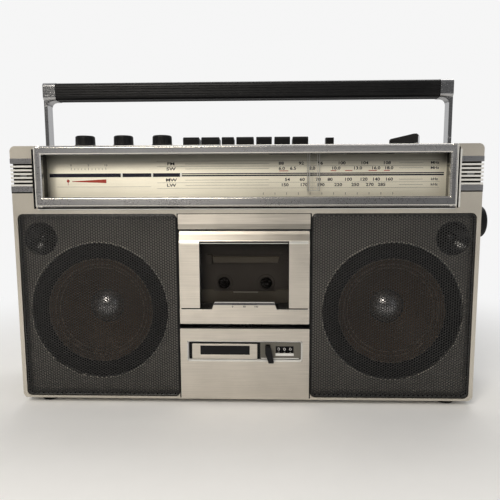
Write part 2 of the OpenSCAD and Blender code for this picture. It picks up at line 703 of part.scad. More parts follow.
// Perforated steel grille: a shallow pan with round holes in staggered rows
grille_margin = 6;
grille_row = grille_pitch * sqrt(3) / 2;
module grille() {
  x = grown(grille_x, -fit);
  z = grown(grille_z, -fit);
  r = grille_radius - fit;
  columns = floor((x[1] - x[0] - 2 * grille_margin) / grille_pitch);
  rows = floor((z[1] - z[0] - 2 * grille_margin) / grille_row);
  x0 = (x[0] + x[1] - columns * grille_pitch) / 2;
  z0 = (z[0] + z[1] - rows * grille_row) / 2;
  difference() {
    along_y([grille_front + grille_sheet / 2, baffle_depth]) round_rect(x, z, r);
    along_y([grille_front, baffle_depth + over])
      round_rect(grown(x, -grille_sheet), grown(z, -grille_sheet), r - grille_sheet);
  }
  along_y([grille_front, grille_front + grille_sheet]) difference() {
    round_rect(x, z, r);
    for (j = [0 : rows], i = [0 : columns - j % 2])
      translate([x0 + (i + (j % 2) / 2) * grille_pitch, z0 + j * grille_row]) circle(grille_hole, $fn = 24);
  }
}
module right_grille() color(black) grille();
module left_grille() color(black) mirror([1, 0, 0]) grille();

// Pressed woofer baskets with windows, each with its magnet and cut clear of the tweeter's flange
module woofer_baskets() color(steel) both_sides() difference() {
  turned_y(woofer_x, baffle_back, woofer_z) polygon([
    [cone_rim - 6, 0], [flange_radius, 0], [flange_radius, 2], [woofer_radius - 1, 2], [magnet_radius + 6, 34],
    [magnet_radius, 34], [magnet_radius, 50], [0, 50], [0, 38], [cone_neck + 3, 38], [cone_neck + 3, 32.5],
    [magnet_radius + 4.5, 32.5], [cone_rim - 4.5, 2], [cone_rim - 6, 2]]);
  for (a = [0 : 60 : 300]) translate([woofer_x, 0, woofer_z]) rotate([0, a, 0])
    block([magnet_radius + 9, woofer_radius - 3], [baffle_back + 6, baffle_back + 29], [-13, 13]);
  rod_y(tweeter_x, [baffle_back - over, baffle_back + 4], tweeter_z, tweeter_flange + fit);
}

// Woofer cones: rolled surround, paper cone, voice coil and dust cap
surround_radius = 5.3;
cone_sheet = 0.8;
module woofer_cones() color([0.16, 0.13, 0.11]) both_sides() turned_y(woofer_x, baffle_back - cone_sheet,
  woofer_z) {
  surround_mid = cone_rim - 5 - surround_radius;
  cone_edge = surround_mid - surround_radius + cone_sheet;
  translate([cone_rim - 5.5, 0]) square([5.5, cone_sheet]);
  translate([surround_mid, cone_sheet]) difference() {
    circle(surround_radius);
    circle(surround_radius - cone_sheet);
    translate([-surround_radius, 0]) square(2 * surround_radius);
  }
  polygon([[cone_edge, 0], [cone_edge, cone_sheet], [cone_neck + cone_sheet, 24], [cone_neck + cone_sheet, 36],
    [cone_neck, 36], [cone_neck, 22.6]]);
  translate([0, 34]) intersection() {
    difference() {
      circle(21);
      circle(21 - cone_sheet);
    }
    translate([0, -21]) square([cone_neck + 0.4, 11]);
  }
}

// Small cone tweeters
module tweeters() color([0.14, 0.13, 0.13]) both_sides() turned_y(tweeter_x, baffle_back, tweeter_z) polygon([
  [0, 1.5], [2.5, 2.1], [4.5, 4], [tweeter_radius - 3, 1.6], [tweeter_radius - 2, 0.8],
    [tweeter_radius - 0.8, 0],
  [tweeter_flange, 0], [tweeter_flange, 2.5], [13, 2.5], [12, 6], [12, 15], [0, 15]]);

// Microphone capsules behind the end blocks
module microphones() color(steel) both_sides() difference() {
  rod_y(mic_x, [front_wall, front_wall + 7], mic_z + rib_groove / 2, 4.5);
  rod_y(mic_x, [front_wall - over, front_wall + 0.6], mic_z + rib_groove / 2, 3);
}

// Brushed plates of the centre column: title strip above the door, panel below it
module trim_plates() color(aluminium) {
  along_y([-trim_thick, 0]) round_rect([-trim_half, trim_half], strip_z, 0.8);
  along_y([-trim_thick, 0]) difference() {
    round_rect([-trim_half, trim_half], lower_z, 0.8);
    round_rect([-recess_half, recess_half], recess_z, 1.5);
  }
}

// Insert of the lower panel's recess: badge block, counter frame and the counter's bracket
counter_x = [drum_start - 0.4, drum_start + 2 * drum_step + drum_width + 0.4];
module recess_insert() color(black) {
  difference() {
    union() {
      block([-recess_half - 3, recess_half + 3], insert_y, grown(recess_z, 3));
      along_y([0.2, insert_y[0] + 0.5]) round_rect(badge_x, badge_z, 0.8);
      along_y([-0.3, 1]) round_rect([badge_x[0] + 8.4, badge_x[1] - 7.7], [badge_z[0] + 4.6,
        badge_z[1] - 2.1], 0.5);
      along_y([1.2, insert_y[0] + 0.5]) round_rect([badge_x[1] + 2.6, recess_half - 1], grown(recess_z,
        -1), 0.8);
    }
    block(counter_x, [-over, insert_y[1] + over],
      [counter_z - counter_window_half, counter_z + counter_window_half]);
    block(grown(reset_x, glide), [-over, insert_y[1] + over],
      [counter_z - reset_half - glide, counter_z + reset_half + glide]);
  }
  for (x = [counter_x[0] - 1.6, counter_x[1] + 0.2])
    block([x, x + 1.4], [insert_y[1] - 0.5, counter_y + 5], [counter_z - 6, counter_z + 6]);
  rod_x([counter_x[0] - 1, counter_x[1] + 1], counter_y, counter_z, counter_shaft);
}

// One number drum of the counter
module number_drum(i) difference() {
  x = drum_start + i * drum_step;
  rod_x([x, x + drum_width], counter_y, counter_z, counter_radius);
  rod_x([x - over, x + drum_width + over], counter_y, counter_z, counter_shaft + run);
}
module counter_units_drum() color(black) number_drum(2);
module counter_carry_drums() color(black) for (i = [0, 1]) number_drum(i);

// Push button that clears the counter
module counter_reset() color(black) {
  z = [counter_z - reset_half, counter_z + reset_half];
  along_y([-4, insert_y[1] + 2]) round_rect(reset_x, z, 0.8);
  block(grown(reset_x, 1.4), [insert_y[1] + glide, insert_y[1] + 2], grown(z, 1.4));
}

// Door frame with pillars, sloped top rail, lower plate with a tab, and hinge ears
module door_frame() color(aluminium) difference() {
  union() {
    difference() {
      along_x([-door_half, door_half]) polygon([[door_front, door_z[0]], [door_back, door_z[0]],
        [door_back, door_z[1]],
        [door_front + 3.2, door_z[1]], [door_front + 1.2, window_z[1] + 1], [door_front, window_z[1] - 1]]);
      block([-window_half, window_half], [door_front - over, door_back + over], window_z);
      block([-window_half - 2, window_half + 2], [door_back - 3.5, door_back + over], grown(window_z, 2));
    }
    block([-door_half, door_half], [door_front - 1, door_front + 0.5], [door_z[0], plate_top]);
    along_y([door_front - 1, door_front + 0.8])
      polygon([[-32, plate_top - 1], [32, plate_top - 1], [29, tab_z], [-29, tab_z]]);
    both_sides() {
      rod_x(hinge_ear_x, hinge_y, hinge_z, hinge_pin + 1.4);
      block(hinge_ear_x, [door_back - 0.5, hinge_y], [hinge_z - hinge_pin - 1.4, hinge_z + hinge_pin + 1.4]);
    }
  }
  both_sides() rod_x(grown(hinge_ear_x, 0.1), hinge_y, hinge_z, hinge_pin + run);
}
hinge_ear_x = [bracket_x[1] + glide, door_half - 0.2];

// Smoked window held behind the frame's edge
module door_window() color(smoke) {
  block([fit - window_half - 2, window_half + 2 - fit], [door_back - 3.5, door_back - 1.5],
    grown(window_z, 2 - fit));
  block([fit - window_half, window_half - fit], [door_front + 1.2, door_back - 3.4], grown(window_z, -fit));
}

// Carrier behind the door that holds the cassette by its sides
holder_x = [cassette_half + 0.8, cassette_half + 3.2];
holder_y = [door_back, door_back + 15];
module cassette_holder() color(black) both_sides() {
  block(holder_x, holder_y, [door_z[0] + 3.5, door_z[1] - 15]);
  block([cassette_half - 9, holder_x[1]], holder_y, [door_z[0] + 2, door_z[0] + 3.6]);
  block([cassette_half - 4, holder_x[1]], [holder_y[1] - 0.1, holder_y[1] + 1.2], [door_z[0] + 2,
    door_z[1] - 15]);
  along_x([holder_x[0], holder_x[1]]) polygon([[holder_y[0], door_z[1] - 15.1], [holder_y[1], door_z[1] - 15.1],
    [holder_y[1] - 9, door_z[1] - 4], [holder_y[0], door_z[1] - 4]]);
}

// Folded steel chassis of the deck: plate, bearing tubes, hinge brackets and key cheeks
module mechanism_chassis() color(steel) difference() {
  union() {
    block([-chassis_half, chassis_half], chassis_y, [chassis_z[0], chassis_z[1] + 2]);
    block([-cheek_x[1], cheek_x[1]], chassis_y, [chassis_z[1], strip_z[1] + 4]);
    both_sides() {
      block([chassis_half - 1, post_x + 3], chassis_y, [post_z[0] - 4, post_z[0] + 4]);
      block([cheek_x[0] - 2, post_x + 3], chassis_y, [post_z[1] - 4, post_z[1] + 4]);
      along_x(cheek_x) polygon([[chassis_y[0], strip_z[1] - 16], [chassis_y[1] + 10, strip_z[1] - 16],
        [cheek_back, key_hub_z - 12], [cheek_back, key_hub_z + 5], [key_hub_y - 10, key_hub_z + 5],
        [chassis_y[0], strip_z[1] + 4]]);
      along_x(bracket_x) polygon([[hinge_y, hinge_z - 4], [chassis_y[1], hinge_z - 8], [chassis_y[1],
        hinge_z + 8],
        [hinge_y, hinge_z + 4]]);
      block([chassis_half - 1, bracket_x[1]], chassis_y, [hinge_z - 8, hinge_z + 8]);
      rod_x(bracket_x, hinge_y, hinge_z, hinge_pin + 1.4);
      rod_x([bracket_x[0], door_half - 0.4], hinge_y, hinge_z, hinge_pin);
      rod_y(spindle_x, [chassis_y[0], chassis_y[1] + 5], spindle_z, spindle_shaft + 2);
      rod_y(26, [head_plate_y[0] - 1.5, chassis_y[0] + 0.5], head_guide_z, head_guide);
    }
    rod_y(capstan_x, [chassis_y[0], chassis_y[1] + 5], capstan_z, capstan_radius + 2.5);
    for (a = [90, 180, 270]) translate([motor_x, 0, motor_z]) rotate([0, -a - belt_angle, 0])
      rod_y(motor_radius - 4, [chassis_y[0] + 0.5, motor_front], 0, 2.5);
    block([motor_x - motor_radius, motor_x + motor_radius], chassis_y, [motor_z - motor_radius,
      chassis_z[0] + 1]);
  }
  both_sides() {
    rod_y(spindle_x, [chassis_y[0] - over, chassis_y[1] + 5 + over], spindle_z, spindle_shaft + run);
    rod_x(grown(cheek_x, over), key_hub_y, key_hub_z, key_shaft_radius + run);
  }
  rod_y(capstan_x, [chassis_y[0] - over, chassis_y[1] + 5 + over], capstan_z, capstan_radius + run);
  block([-12, 12], [chassis_y[0] - over, chassis_y[1] + over], [spindle_z - 6, spindle_z + 2]);
}
head_guide = 1.5;
head_guide_z = head_plate_z[0] + 10;

// Sliding plate with the two heads and the pinch roller
module head_plate() color(steel) difference() {
  union() {
    block([-34, 38], head_plate_y, head_plate_z);
    along_x([-6.5, 6.5]) polygon([[11, head_plate_z[1] - 12], [head_plate_y[1], head_plate_z[1] - 12],
      [head_plate_y[1], head_plate_z[1] + 1], [18, head_plate_z[1] + 3], [14, head_plate_z[1] + 3],
      [11, head_plate_z[1] + 1]]);
    block([-24, -15], [12, head_plate_y[1]], [head_plate_z[1] - 10, head_plate_z[1] + 1]);
    rod_y(capstan_x, [11, 19], roller_z, roller_radius);
    rod_y(capstan_x, [10, head_plate_y[1]], roller_z, 1.5);
  }
  both_sides() {
    rod_y(26, grown(head_plate_y, over), head_guide_z, head_guide + glide);
    rod_y(26, grown(head_plate_y, over), head_guide_z - head_travel, head_guide + glide);
    block([26 - head_guide - glide, 26 + head_guide + glide], grown(head_plate_y, over),
      [head_guide_z - head_travel, head_guide_z]);
  }
}

// Spindle that turns a cassette reel: disc, ribbed hub and pointed tip
module spindle() {
  disc_y = [chassis_y[0] - 4, chassis_y[0] - 0.4];
  turned_y(0, 0, 0) polygon([[0, 8.6], [1.6, 9], [3.4, 12], [3.4, disc_y[0] - 2], [6, disc_y[0]], [11,
    disc_y[0]],
    [11, disc_y[1]], [spindle_shaft, disc_y[1]], [spindle_shaft, chassis_y[1] + 5.6], [0, chassis_y[1] + 5.6]]);
  for (a = [0 : 60 : 300]) rotate([0, a, 0]) along_x([-0.7, 0.7])
    polygon([[12, 2], [13.5, 4.4], [disc_y[0] + 0.5, 4.4], [disc_y[0] + 0.5, 2]]);
}
module supply_spindle() color([0.8, 0.8, 0.78]) translate([-spindle_x, 0, spindle_z]) spindle();
module takeup_spindle() color([0.8, 0.8, 0.78]) translate([spindle_x, 0, spindle_z]) spindle();

// Capstan and flywheel, one turned piece
module capstan_flywheel() color(steel) turned_y(capstan_x, 0, capstan_z) polygon([
  [0, 8.5], [capstan_radius - 0.3, 8.5], [capstan_radius, 8.8], [capstan_radius, flywheel_y[0] - 0.6],
  [4, flywheel_y[0] - 0.6], [4, flywheel_y[0] + 1.5], [flywheel_radius - 5, flywheel_y[0] + 1.5],
  [flywheel_radius - 5, flywheel_y[0]], [flywheel_radius, flywheel_y[0]], [flywheel_radius, belt_y - 1.4],
  [flywheel_radius - 1, belt_y - 1], [flywheel_radius - 1, belt_y + 1], [flywheel_radius, belt_y + 1.4],
  [flywheel_radius, flywheel_y[1]], [0, flywheel_y[1]]]);

// Motor can on the chassis posts, its bearing towards the plate
module drive_motor() color(steel) difference() {
  turned_y(motor_x, motor_front, motor_z) polygon([[0, 0], [motor_radius - 1, 0], [motor_radius, 1],
    [motor_radius, 24], [motor_radius - 1, 25], [0, 25]]);
  rod_y(motor_x, [motor_front - over, motor_front + 8], motor_z, 1 + run);
}

// Pulley on the motor's shaft
module motor_pulley() color([0.75, 0.62, 0.30]) turned_y(motor_x, 0, motor_z) polygon([
  [0, belt_y - 2.4], [pulley_groove + 1, belt_y - 2.4], [pulley_groove + 1, belt_y - 1.4],
    [pulley_groove, belt_y - 1],
  [pulley_groove, belt_y + 1], [pulley_groove + 1, belt_y + 1.4], [pulley_groove + 1, belt_y + 2.4],
  [1, belt_y + 2.4], [1, motor_front + 7], [0, motor_front + 7]]);

// Belt from the pulley to the flywheel: two arcs and their common tangents
belt_span = [capstan_x - motor_x, capstan_z - motor_z];
belt_angle = atan2(belt_span[1], belt_span[0]);
belt_small = pulley_groove + 0.1;
belt_large = flywheel_radius - 1 + 0.1;
belt_lean = asin((belt_large - belt_small) / norm(belt_span));
function arc_points(x, r, from, sweep, steps) =
  [for (i = [0 : steps]) [x + r * cos(from + sweep * i / steps), r * sin(from + sweep * i / steps)]];
function belt_points(extra) = concat(
  arc_points(0, belt_small + extra, 90 + belt_lean, 180 - 2 * belt_lean, 12),
  arc_points(norm(belt_span), belt_large + extra, -90 - belt_lean, 180 + 2 * belt_lean, 48));
module drive_belt() color(black) along_y([belt_y - 0.7, belt_y + 0.7])
  translate([motor_x, motor_z]) rotate(belt_angle) difference() {
    polygon(belt_points(belt_thick));
    polygon(belt_points(0));
  }

// Common shaft of the keys
module key_shaft() color(steel) rod_x([-cheek_x[1], cheek_x[1]], key_hub_y, key_hub_z, key_shaft_radius);

// Key with its lever, which turns on the common shaft
key_arm = 6;
key_hub = 4.5;
module key(i) color(black) difference() {
  x = key_x(i);
  half = key_widths[i] / 2;
  cap_top = top_z + key_rise;
  union() {
    along_x([x - half, x + half]) polygon([[key_front + 0.6, top_z - 4], [key_front, cap_top - 2.5],
      [key_front + 1.6, cap_top - 0.6], [key_front + 3.5, cap_top], [key_back - 7, cap_top - 1.2],
      [key_back - 1.2, cap_top - 1.6], [key_back, cap_top - 3], [key_back, top_z - 4]]);
    along_x([x - key_arm / 2, x + key_arm / 2]) polygon([[key_back - 9, top_z - 3], [key_back - 9, top_z - 9],
      [key_hub_y, key_hub_z - 3.5], [key_hub_y, key_hub_z + 3.5], [key_back - 0.5, top_z - 4.5],
      [key_back - 0.5, top_z - 3]]);
    rod_x([x - key_arm / 2, x + key_arm / 2], key_hub_y, key_hub_z, key_hub);
  }
  rod_x([x - key_arm, x + key_arm], key_hub_y, key_hub_z, key_shaft_radius + run);
}
module key_record() key(0);
module key_play() key(1);
module key_search() key(2);
module key_rewind() key(3);
module key_forward() key(4);
module key_stop_eject() key(5);
module key_pause() key(6);

// Potentiometers and band switch under the knobs, and the function switch's housing
module control_pots() color(steel) {
  for (x = concat(knob_x, [band_x])) difference() {
    turned_z(x, knob_depth, ceiling_z) polygon([[0, -pot_depth], [pot_radius, -pot_depth], [pot_radius, 0],
      [bush_radius, 0], [bush_radius, wall], [0, wall]]);
    rod_z(x, knob_depth, [ceiling_z - pot_depth + 2, top_z + over], knob_shaft + run);
  }
  difference() {
    block([switch_x - 17, switch_x + 17], [knob_depth - 6, knob_depth + 6], [ceiling_z - 10, ceiling_z]);
    block([switch_x - 8 - switch_travel, switch_x + 8 + switch_travel], [knob_depth - 4.5 - glide,
      knob_depth + 4.5 + glide],
      [ceiling_z - 6, ceiling_z + over]);
  }
}

// Round knob with fine flutes, a skirt and its shaft
module knob(x) color(black) difference() {
  z = deck_z + knob_gap;
  h = knob_height;
  r = knob_radius;
  turned_z(x, knob_depth, z) polygon([[0, 2 - z + ceiling_z - pot_depth + 1], [knob_shaft,
    2 - z + ceiling_z - pot_depth + 1],
    [knob_shaft, 0], [r - 0.5, 0], [r, 0.5], [r, 1.8], [r - 0.7, 2.4], [r - 0.9, h - 1.6], [r - 1.4, h - 0.5],
    [r - 2.6, h], [r - 3.6, h - 0.4], [0, h - 0.4]]);
  for (a = [0 : 15 : 345]) translate([x, knob_depth, 0]) rotate([0, 0, a])
    rod_z(r - 0.35, 0, [z + 3, z + h - 1.8], 0.7);
}
module volume_knob() knob(knob_x[0]);
module balance_knob() knob(knob_x[1]);
module tone_knob() knob(knob_x[2]);

// Band selector: a round base with a raised wing
wing_half = 14.2;
module band_knob() color(black) translate([band_x, knob_depth, 0]) {
  z = deck_z + knob_gap;
  turned_z(0, 0, z) polygon([[0, ceiling_z - pot_depth + 3 - z], [knob_shaft,
    ceiling_z - pot_depth + 3 - z], [knob_shaft, 0],
    [12, 0], [12.5, 0.5], [12.5, 1.6], [11.8, 2.4], [0, 2.4]]);
  rotate([0, 0, -25]) rotate([90, 0, 0]) translate([0, 0, -4.2]) linear_extrude(8.4)
    polygon([[-wing_half, z + 1], [wing_half, z + 1], [wing_half, z + 9], [wing_half - 1.3, z + 10.8],
      [wing_half - 4.2, z + 10.8], [1.3 - wing_half, z + 6.4], [-wing_half, z + 5]]);
}

// Slide switch: cap, neck and carriage
module function_switch() color(black) {
  block([switch_x - 7, switch_x + 7], [knob_depth - 4.5, knob_depth + 4.5], [ceiling_z - 6 + glide,
    ceiling_z - glide]);
  block([switch_x - 3, switch_x + 3], [knob_depth - 2, knob_depth + 2], [ceiling_z - glide - 0.5, deck_z + 1]);
  along_x([switch_x - switch_cap[0] / 2, switch_x + switch_cap[0] / 2])
    round_rect([knob_depth - switch_cap[1] / 2, knob_depth + switch_cap[1] / 2],
      [deck_z + 0.5, deck_z + 0.5 + switch_cap[2]], 1);
}

// Chrome handle arms: flat bars, each with the bracket that holds the grip and a filled inner corner
arm_fillet = 6;
arm_taper = 0.3;
bracket_step = 0.8;
bar_half = arm_half - 0.2;
bar_top = grip_z[0] + 4;
module handle_arms() color(chrome) both_sides() difference() {
  union() {
    along_x(arm_x) {
      translate([handle_depth, handle_z]) circle(arm_half);
      polygon([[handle_depth - bar_half, handle_z], [handle_depth + bar_half, handle_z],
        [handle_depth + bar_half - arm_taper, bar_top], [handle_depth - bar_half + arm_taper, bar_top]]);
    }
    along_x([grip_half, arm_x[1] - bracket_step]) handle_section(0);
    along_y(grown([handle_depth, handle_depth], bar_half - 2 * arm_taper)) translate([arm_x[0], grip_z[0]])
      polygon([[over, -arm_fillet], [0, -arm_fillet], [-arm_fillet * 0.15, -arm_fillet * 0.5],
        [-arm_fillet * 0.5, -arm_fillet * 0.15], [-arm_fillet, 0], [-arm_fillet, over], [over, over]]);
  }
  rod_x(grown(arm_x, over), handle_depth, handle_z, pivot_radius + run);
}

// Cross-section of the handle's grip
module handle_section(inset) round_rect(grown([handle_depth - grip_thick, handle_depth + grip_thick], -inset),
  grown(grip_z, -inset), 4);

// Ribbed grip between the two arms
grip_groove = 0.9;
grip_pitch = 2.6;
grip_grooves = [-1.5 : 1.5];
module handle_grip() color(black) along_x([-grip_half, grip_half]) difference() {
  handle_section(0.4);
  for (s = [-1, 1], i = grip_grooves)
    translate([handle_depth + s * grip_thick, (grip_z[0] + grip_z[1]) / 2 + i * grip_pitch]) circle(grip_groove);
  for (z = grip_z, i = grip_grooves) translate([handle_depth + i * grip_pitch, z]) circle(grip_groove);
}

// Swivelling antenna base with its fork and tilt pin
module antenna_base() color(chrome) {
  rod_z(antenna_x, antenna_y, [rebate_z - 8, rebate_z + 1], antenna_stub);
  rod_z(antenna_x, antenna_y, [rebate_z + glide, rebate_z + 2.4], antenna_flange);
  for (y = [antenna_y - 5.2, antenna_y + 3.2]) along_y([y, y + 2]) {
    translate([antenna_x, antenna_z]) circle(3.6);
    translate([antenna_x - 3.6, rebate_z + 1.4]) square([7.2, antenna_z - rebate_z - 1.4]);
  }
  rod_y(antenna_x, [antenna_y - 4, antenna_y + 4], antenna_z, antenna_pin);
}

// Outer tube of the antenna with its pivot eye
module antenna_tube() color(chrome) difference() {
  union() {
    rod_y(antenna_x, [antenna_y - 3, antenna_y + 3], antenna_z, 3.4);
    block([antenna_x - 6, antenna_x], [antenna_y - 2.4, antenna_y + 2.4], [antenna_z - 2.4, antenna_z + 2.4]);
    rod_x([antenna_x - antenna_length, antenna_x - 5], antenna_y, antenna_z, antenna_radius);
  }
  rod_y(antenna_x, [antenna_y - 3 - over, antenna_y + 3 + over], antenna_z, antenna_pin + run);
  rod_x([antenna_x - antenna_length - over, antenna_x - 10], antenna_y, antenna_z, antenna_rod + run);
}

// Inner rod of the antenna with its end button
module antenna_tip() color(chrome) {
  end = antenna_x - antenna_length;
  rod_x([end - 2, antenna_x - 14], antenna_y, antenna_z, antenna_rod);
  turned_x(end - glide, antenna_y, antenna_z) polygon([[0, 0], [antenna_radius, 0], [antenna_radius, -4],
    [antenna_radius - 1, -5.4], [0, -5.6]]);
}

// Main circuit board with its larger components
module main_board() color([0.55, 0.45, 0.25]) difference() {
  union() {
    block([-board_half, board_half], board_y, board_z);
    for (i = [0 : 5]) rod_y(-80 + i * 32, [board_y[0] - 14 - 2 * (i % 3), board_y[0] + 0.5],
      board_z[0] + 62, 6);
    for (i = [0 : 3]) block([-70 + i * 40, -50 + i * 40], [board_y[0] - 5, board_y[0] + 0.5],
      [board_z[0] + 30, board_z[0] + 37]);
    block([60, 64], [board_y[0] - 12, board_y[0] + 0.5], [board_z[0] + 20, board_z[0] + 52]);
  }
  both_sides() for (z = board_posts_z) rod_y(board_half - board_post_inset, grown(board_y, over), z, 1.6);
}

// Ferrite rod of the aerial, with its coil, under the top
ferrite_x = [35 - half_w, -cheek_x[1] - 10];
ferrite_y = seam_y + 24;
coil_x = [ferrite_x[0] + 40, ferrite_x[0] + 70];
coil_radius = 6;
module ferrite_rod() color([0.2, 0.2, 0.21]) {
  z = ceiling_z - coil_radius - glide;
  rod_x(ferrite_x, ferrite_y, z, coil_radius - 1);
  rod_x(coil_x, ferrite_y, z, coil_radius);
}

// Mains transformer on the floor of the rear half, between the battery bay and the side wall
transformer_half = 25;
module power_transformer() color(steel) {
  middle = (bay_width / 2 + bay_rim + half_w - wall) / 2;
  x = [middle - transformer_half, middle + transformer_half];
  y = [back_in - 42, back_in - 4];
  block(x, grown(y, -8), [floor_z, floor_z + 42]);
  block(grown(x, -10), y, [floor_z + 8, floor_z + 34]);
  block([x[0] - 6, x[1] + 6], grown(y, -12), [floor_z, floor_z + 1.5]);
}

// Battery contacts on the bay's end walls
module battery_contacts() color(steel) both_sides() for (row = [0, 1]) {
  z = bay_z[0] + bay_height / 4 + row * bay_height / 2;
  block([bay_width / 2 - 0.6, bay_width / 2], [bay_y + 8, bay_y + 28], [z - 10, z + 10]);
  rod_x([bay_width / 2 - 2.4, bay_width / 2 - 0.5], bay_y + 18, z, 5);
}

// Recessed socket plate in the back: headphone socket and mains inlet
inlet_z = jack_z[0] + 18;
headphone_z = jack_z[1] - 16;
jack_mid = (jack_x[0] + jack_x[1]) / 2;
module jack_panel() color(black) difference() {
  union() {
    block(grown(jack_x, 3), [jack_plate_y, back_in], grown(jack_z, 3));
    rod_y(jack_mid, [jack_plate_y - jack_bore + 1, jack_plate_y + over], headphone_z, jack_radius + 3);
    along_y([jack_plate_y - 14, jack_plate_y + over]) round_rect([jack_mid - 10, jack_mid + 10],
      [inlet_z - 6.5, inlet_z + 6.5], 2);
  }
  rod_y(jack_mid, [back_in - jack_bore, back_in + over], headphone_z, jack_radius);
  along_y([jack_plate_y - 12, back_in + over]) difference() {
    round_rect([jack_mid - 8, jack_mid + 8], [inlet_z - 4.5, inlet_z + 4.5], 3);
    for (s = [-1, 1]) translate([jack_mid + s * 4.3, inlet_z]) circle(1.2);
  }
}

placed() front_cabinet();
placed() rear_cabinet();
placed() top_panel();
placed() battery_cover();
placed() rubber_feet();
placed() cabinet_screws();
placed() dial_bezel();
placed() dial_lens();
placed() dial_scale();
placed() dial_pointer();
placed() dial_cord();
placed() tuning_drum();
placed() tuning_capacitor();
placed() tuning_knob();
placed() left_grille();
placed() right_grille();
placed() woofer_baskets();
placed() woofer_cones();
placed() tweeters();
placed() microphones();
placed() trim_plates();
placed() recess_insert();
placed() counter_reset();
placed() counter_units_drum();
placed() counter_carry_drums();
placed() door_frame();
placed() door_window();
placed() cassette_holder();
placed() mechanism_chassis();
placed() head_plate();
placed() supply_spindle();
placed() takeup_spindle();
placed() capstan_flywheel();
placed() drive_motor();
placed() motor_pulley();
placed() drive_belt();
placed() key_shaft();
placed() key_record();
placed() key_play();
placed() key_search();
placed() key_rewind();
placed() key_forward();
placed() key_stop_eject();
placed() key_pause();
placed() control_pots();
placed() volume_knob();
placed() balance_knob();
placed() tone_knob();
placed() band_knob();
placed() function_switch();
placed() handle_arms();
placed() handle_grip();
placed() antenna_base();
placed() antenna_tube();
placed() antenna_tip();
placed() main_board();
placed() ferrite_rod();
placed() power_transformer();
placed() battery_contacts();
placed() jack_panel();
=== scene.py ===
import math

import bmesh
import bpy
import numpy as np
from mathutils import Matrix, Vector


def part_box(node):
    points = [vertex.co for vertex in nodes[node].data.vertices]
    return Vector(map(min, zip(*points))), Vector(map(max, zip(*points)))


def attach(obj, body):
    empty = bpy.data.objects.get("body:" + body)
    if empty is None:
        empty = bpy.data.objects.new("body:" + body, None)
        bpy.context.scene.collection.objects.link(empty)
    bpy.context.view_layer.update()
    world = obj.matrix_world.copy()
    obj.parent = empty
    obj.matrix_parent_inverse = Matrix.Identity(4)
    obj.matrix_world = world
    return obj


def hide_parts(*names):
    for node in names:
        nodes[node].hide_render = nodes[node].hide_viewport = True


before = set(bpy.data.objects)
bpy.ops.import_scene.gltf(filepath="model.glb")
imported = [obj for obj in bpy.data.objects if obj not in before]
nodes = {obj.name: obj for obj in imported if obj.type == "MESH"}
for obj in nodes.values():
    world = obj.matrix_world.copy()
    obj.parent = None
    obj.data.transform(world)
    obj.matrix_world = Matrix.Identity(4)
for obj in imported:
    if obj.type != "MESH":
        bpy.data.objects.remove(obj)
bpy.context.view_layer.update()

scene = bpy.context.scene

# Metres in a millimetre, and where the cabinet's own axes lie in the shared frame, in millimetres
MM = 0.001
SHIFT = (-7.5, -54.0, 0.0)


def at(x, y, z):
    """A point of the cabinet's own axes, in millimetres, in the shared frame."""
    return Vector(((x + SHIFT[0]) * MM, (y + SHIFT[1]) * MM, (z + SHIFT[2]) * MM))


def node_box(name):
    """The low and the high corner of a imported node, in millimetres of the cabinet's own axes."""
    return [Vector(corner) / MM - Vector(SHIFT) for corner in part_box(name)]


def span(side, inner, outer):
    """Range of x between two distances from the middle, on the left (-1) or on the right (1)."""
    return sorted((side * inner, side * outer))


def add_object(name, data):
    made = bpy.data.objects.new(name, data)
    scene.collection.objects.link(made)
    return made


# Node trees

def put(tree, kind, inputs=None, **settings):
    """A new shader node. Inputs are values or sockets, by name or number."""
    made = tree.nodes.new(kind)
    for key, value in settings.items():
        setattr(made, key, value)
    for key, value in (inputs or {}).items():
        if isinstance(value, bpy.types.NodeSocket):
            tree.links.new(value, made.inputs[key])
        else:
            made.inputs[key].default_value = value
    return made


def math_node(tree, operation, a, b=0.0, clamp=False):
    return put(tree, "ShaderNodeMath", {0: a, 1: b}, operation=operation, use_clamp=clamp).outputs[0]


def ranged(tree, value, low, high, to_low, to_high):
    return put(tree, "ShaderNodeMapRange", {0: value, 1: low, 2: high, 3: to_low, 4: to_high}).outputs[0]


def object_place(tree):
    """The object's own coordinates, in metres."""
    return put(tree, "ShaderNodeTexCoord").outputs["Object"]


def noise(tree, scale, detail, seed, stretch=(1, 1, 1)):
    """Noise over the object's own coordinates. Scale is in features per metre."""
    moved = {0: object_place(tree), 1: (seed, seed * 0.7, seed * 1.3), 3: stretch}
    where = put(tree, "ShaderNodeMapping", moved).outputs[0]
    return put(tree, "ShaderNodeTexNoise", {"Vector": where, "Scale": scale, "Detail": detail}).outputs["Fac"]


def blend_colours(tree, share, first, second):
    made = put(tree, "ShaderNodeMix", {0: share}, data_type="RGBA")
    for number, value in ((6, first), (7, second)):
        if isinstance(value, bpy.types.NodeSocket):
            tree.links.new(value, made.inputs[number])
        else:
            made.inputs[number].default_value = (*value, 1.0)
    return made.outputs[2]


def edge_mask(tree, radius):
    """1 on worn edges, 0 on flat faces."""
    rounded = put(tree, "ShaderNodeBevel", {"Radius": radius}, samples=4).outputs[0]
    plain = put(tree, "ShaderNodeNewGeometry").outputs["Normal"]
    dot = put(tree, "ShaderNodeVectorMath", {0: rounded, 1: plain}, operation="DOT_PRODUCT").outputs["Value"]
    return ranged(tree, dot, 0.97, 0.80, 0.0, 1.0)


def between(tree, value, low, high):
    """1 where the value lies between two limits."""
    above = math_node(tree, "GREATER_THAN", value, low)
    below = math_node(tree, "LESS_THAN", value, high)
    return math_node(tree, "MULTIPLY", above, below)


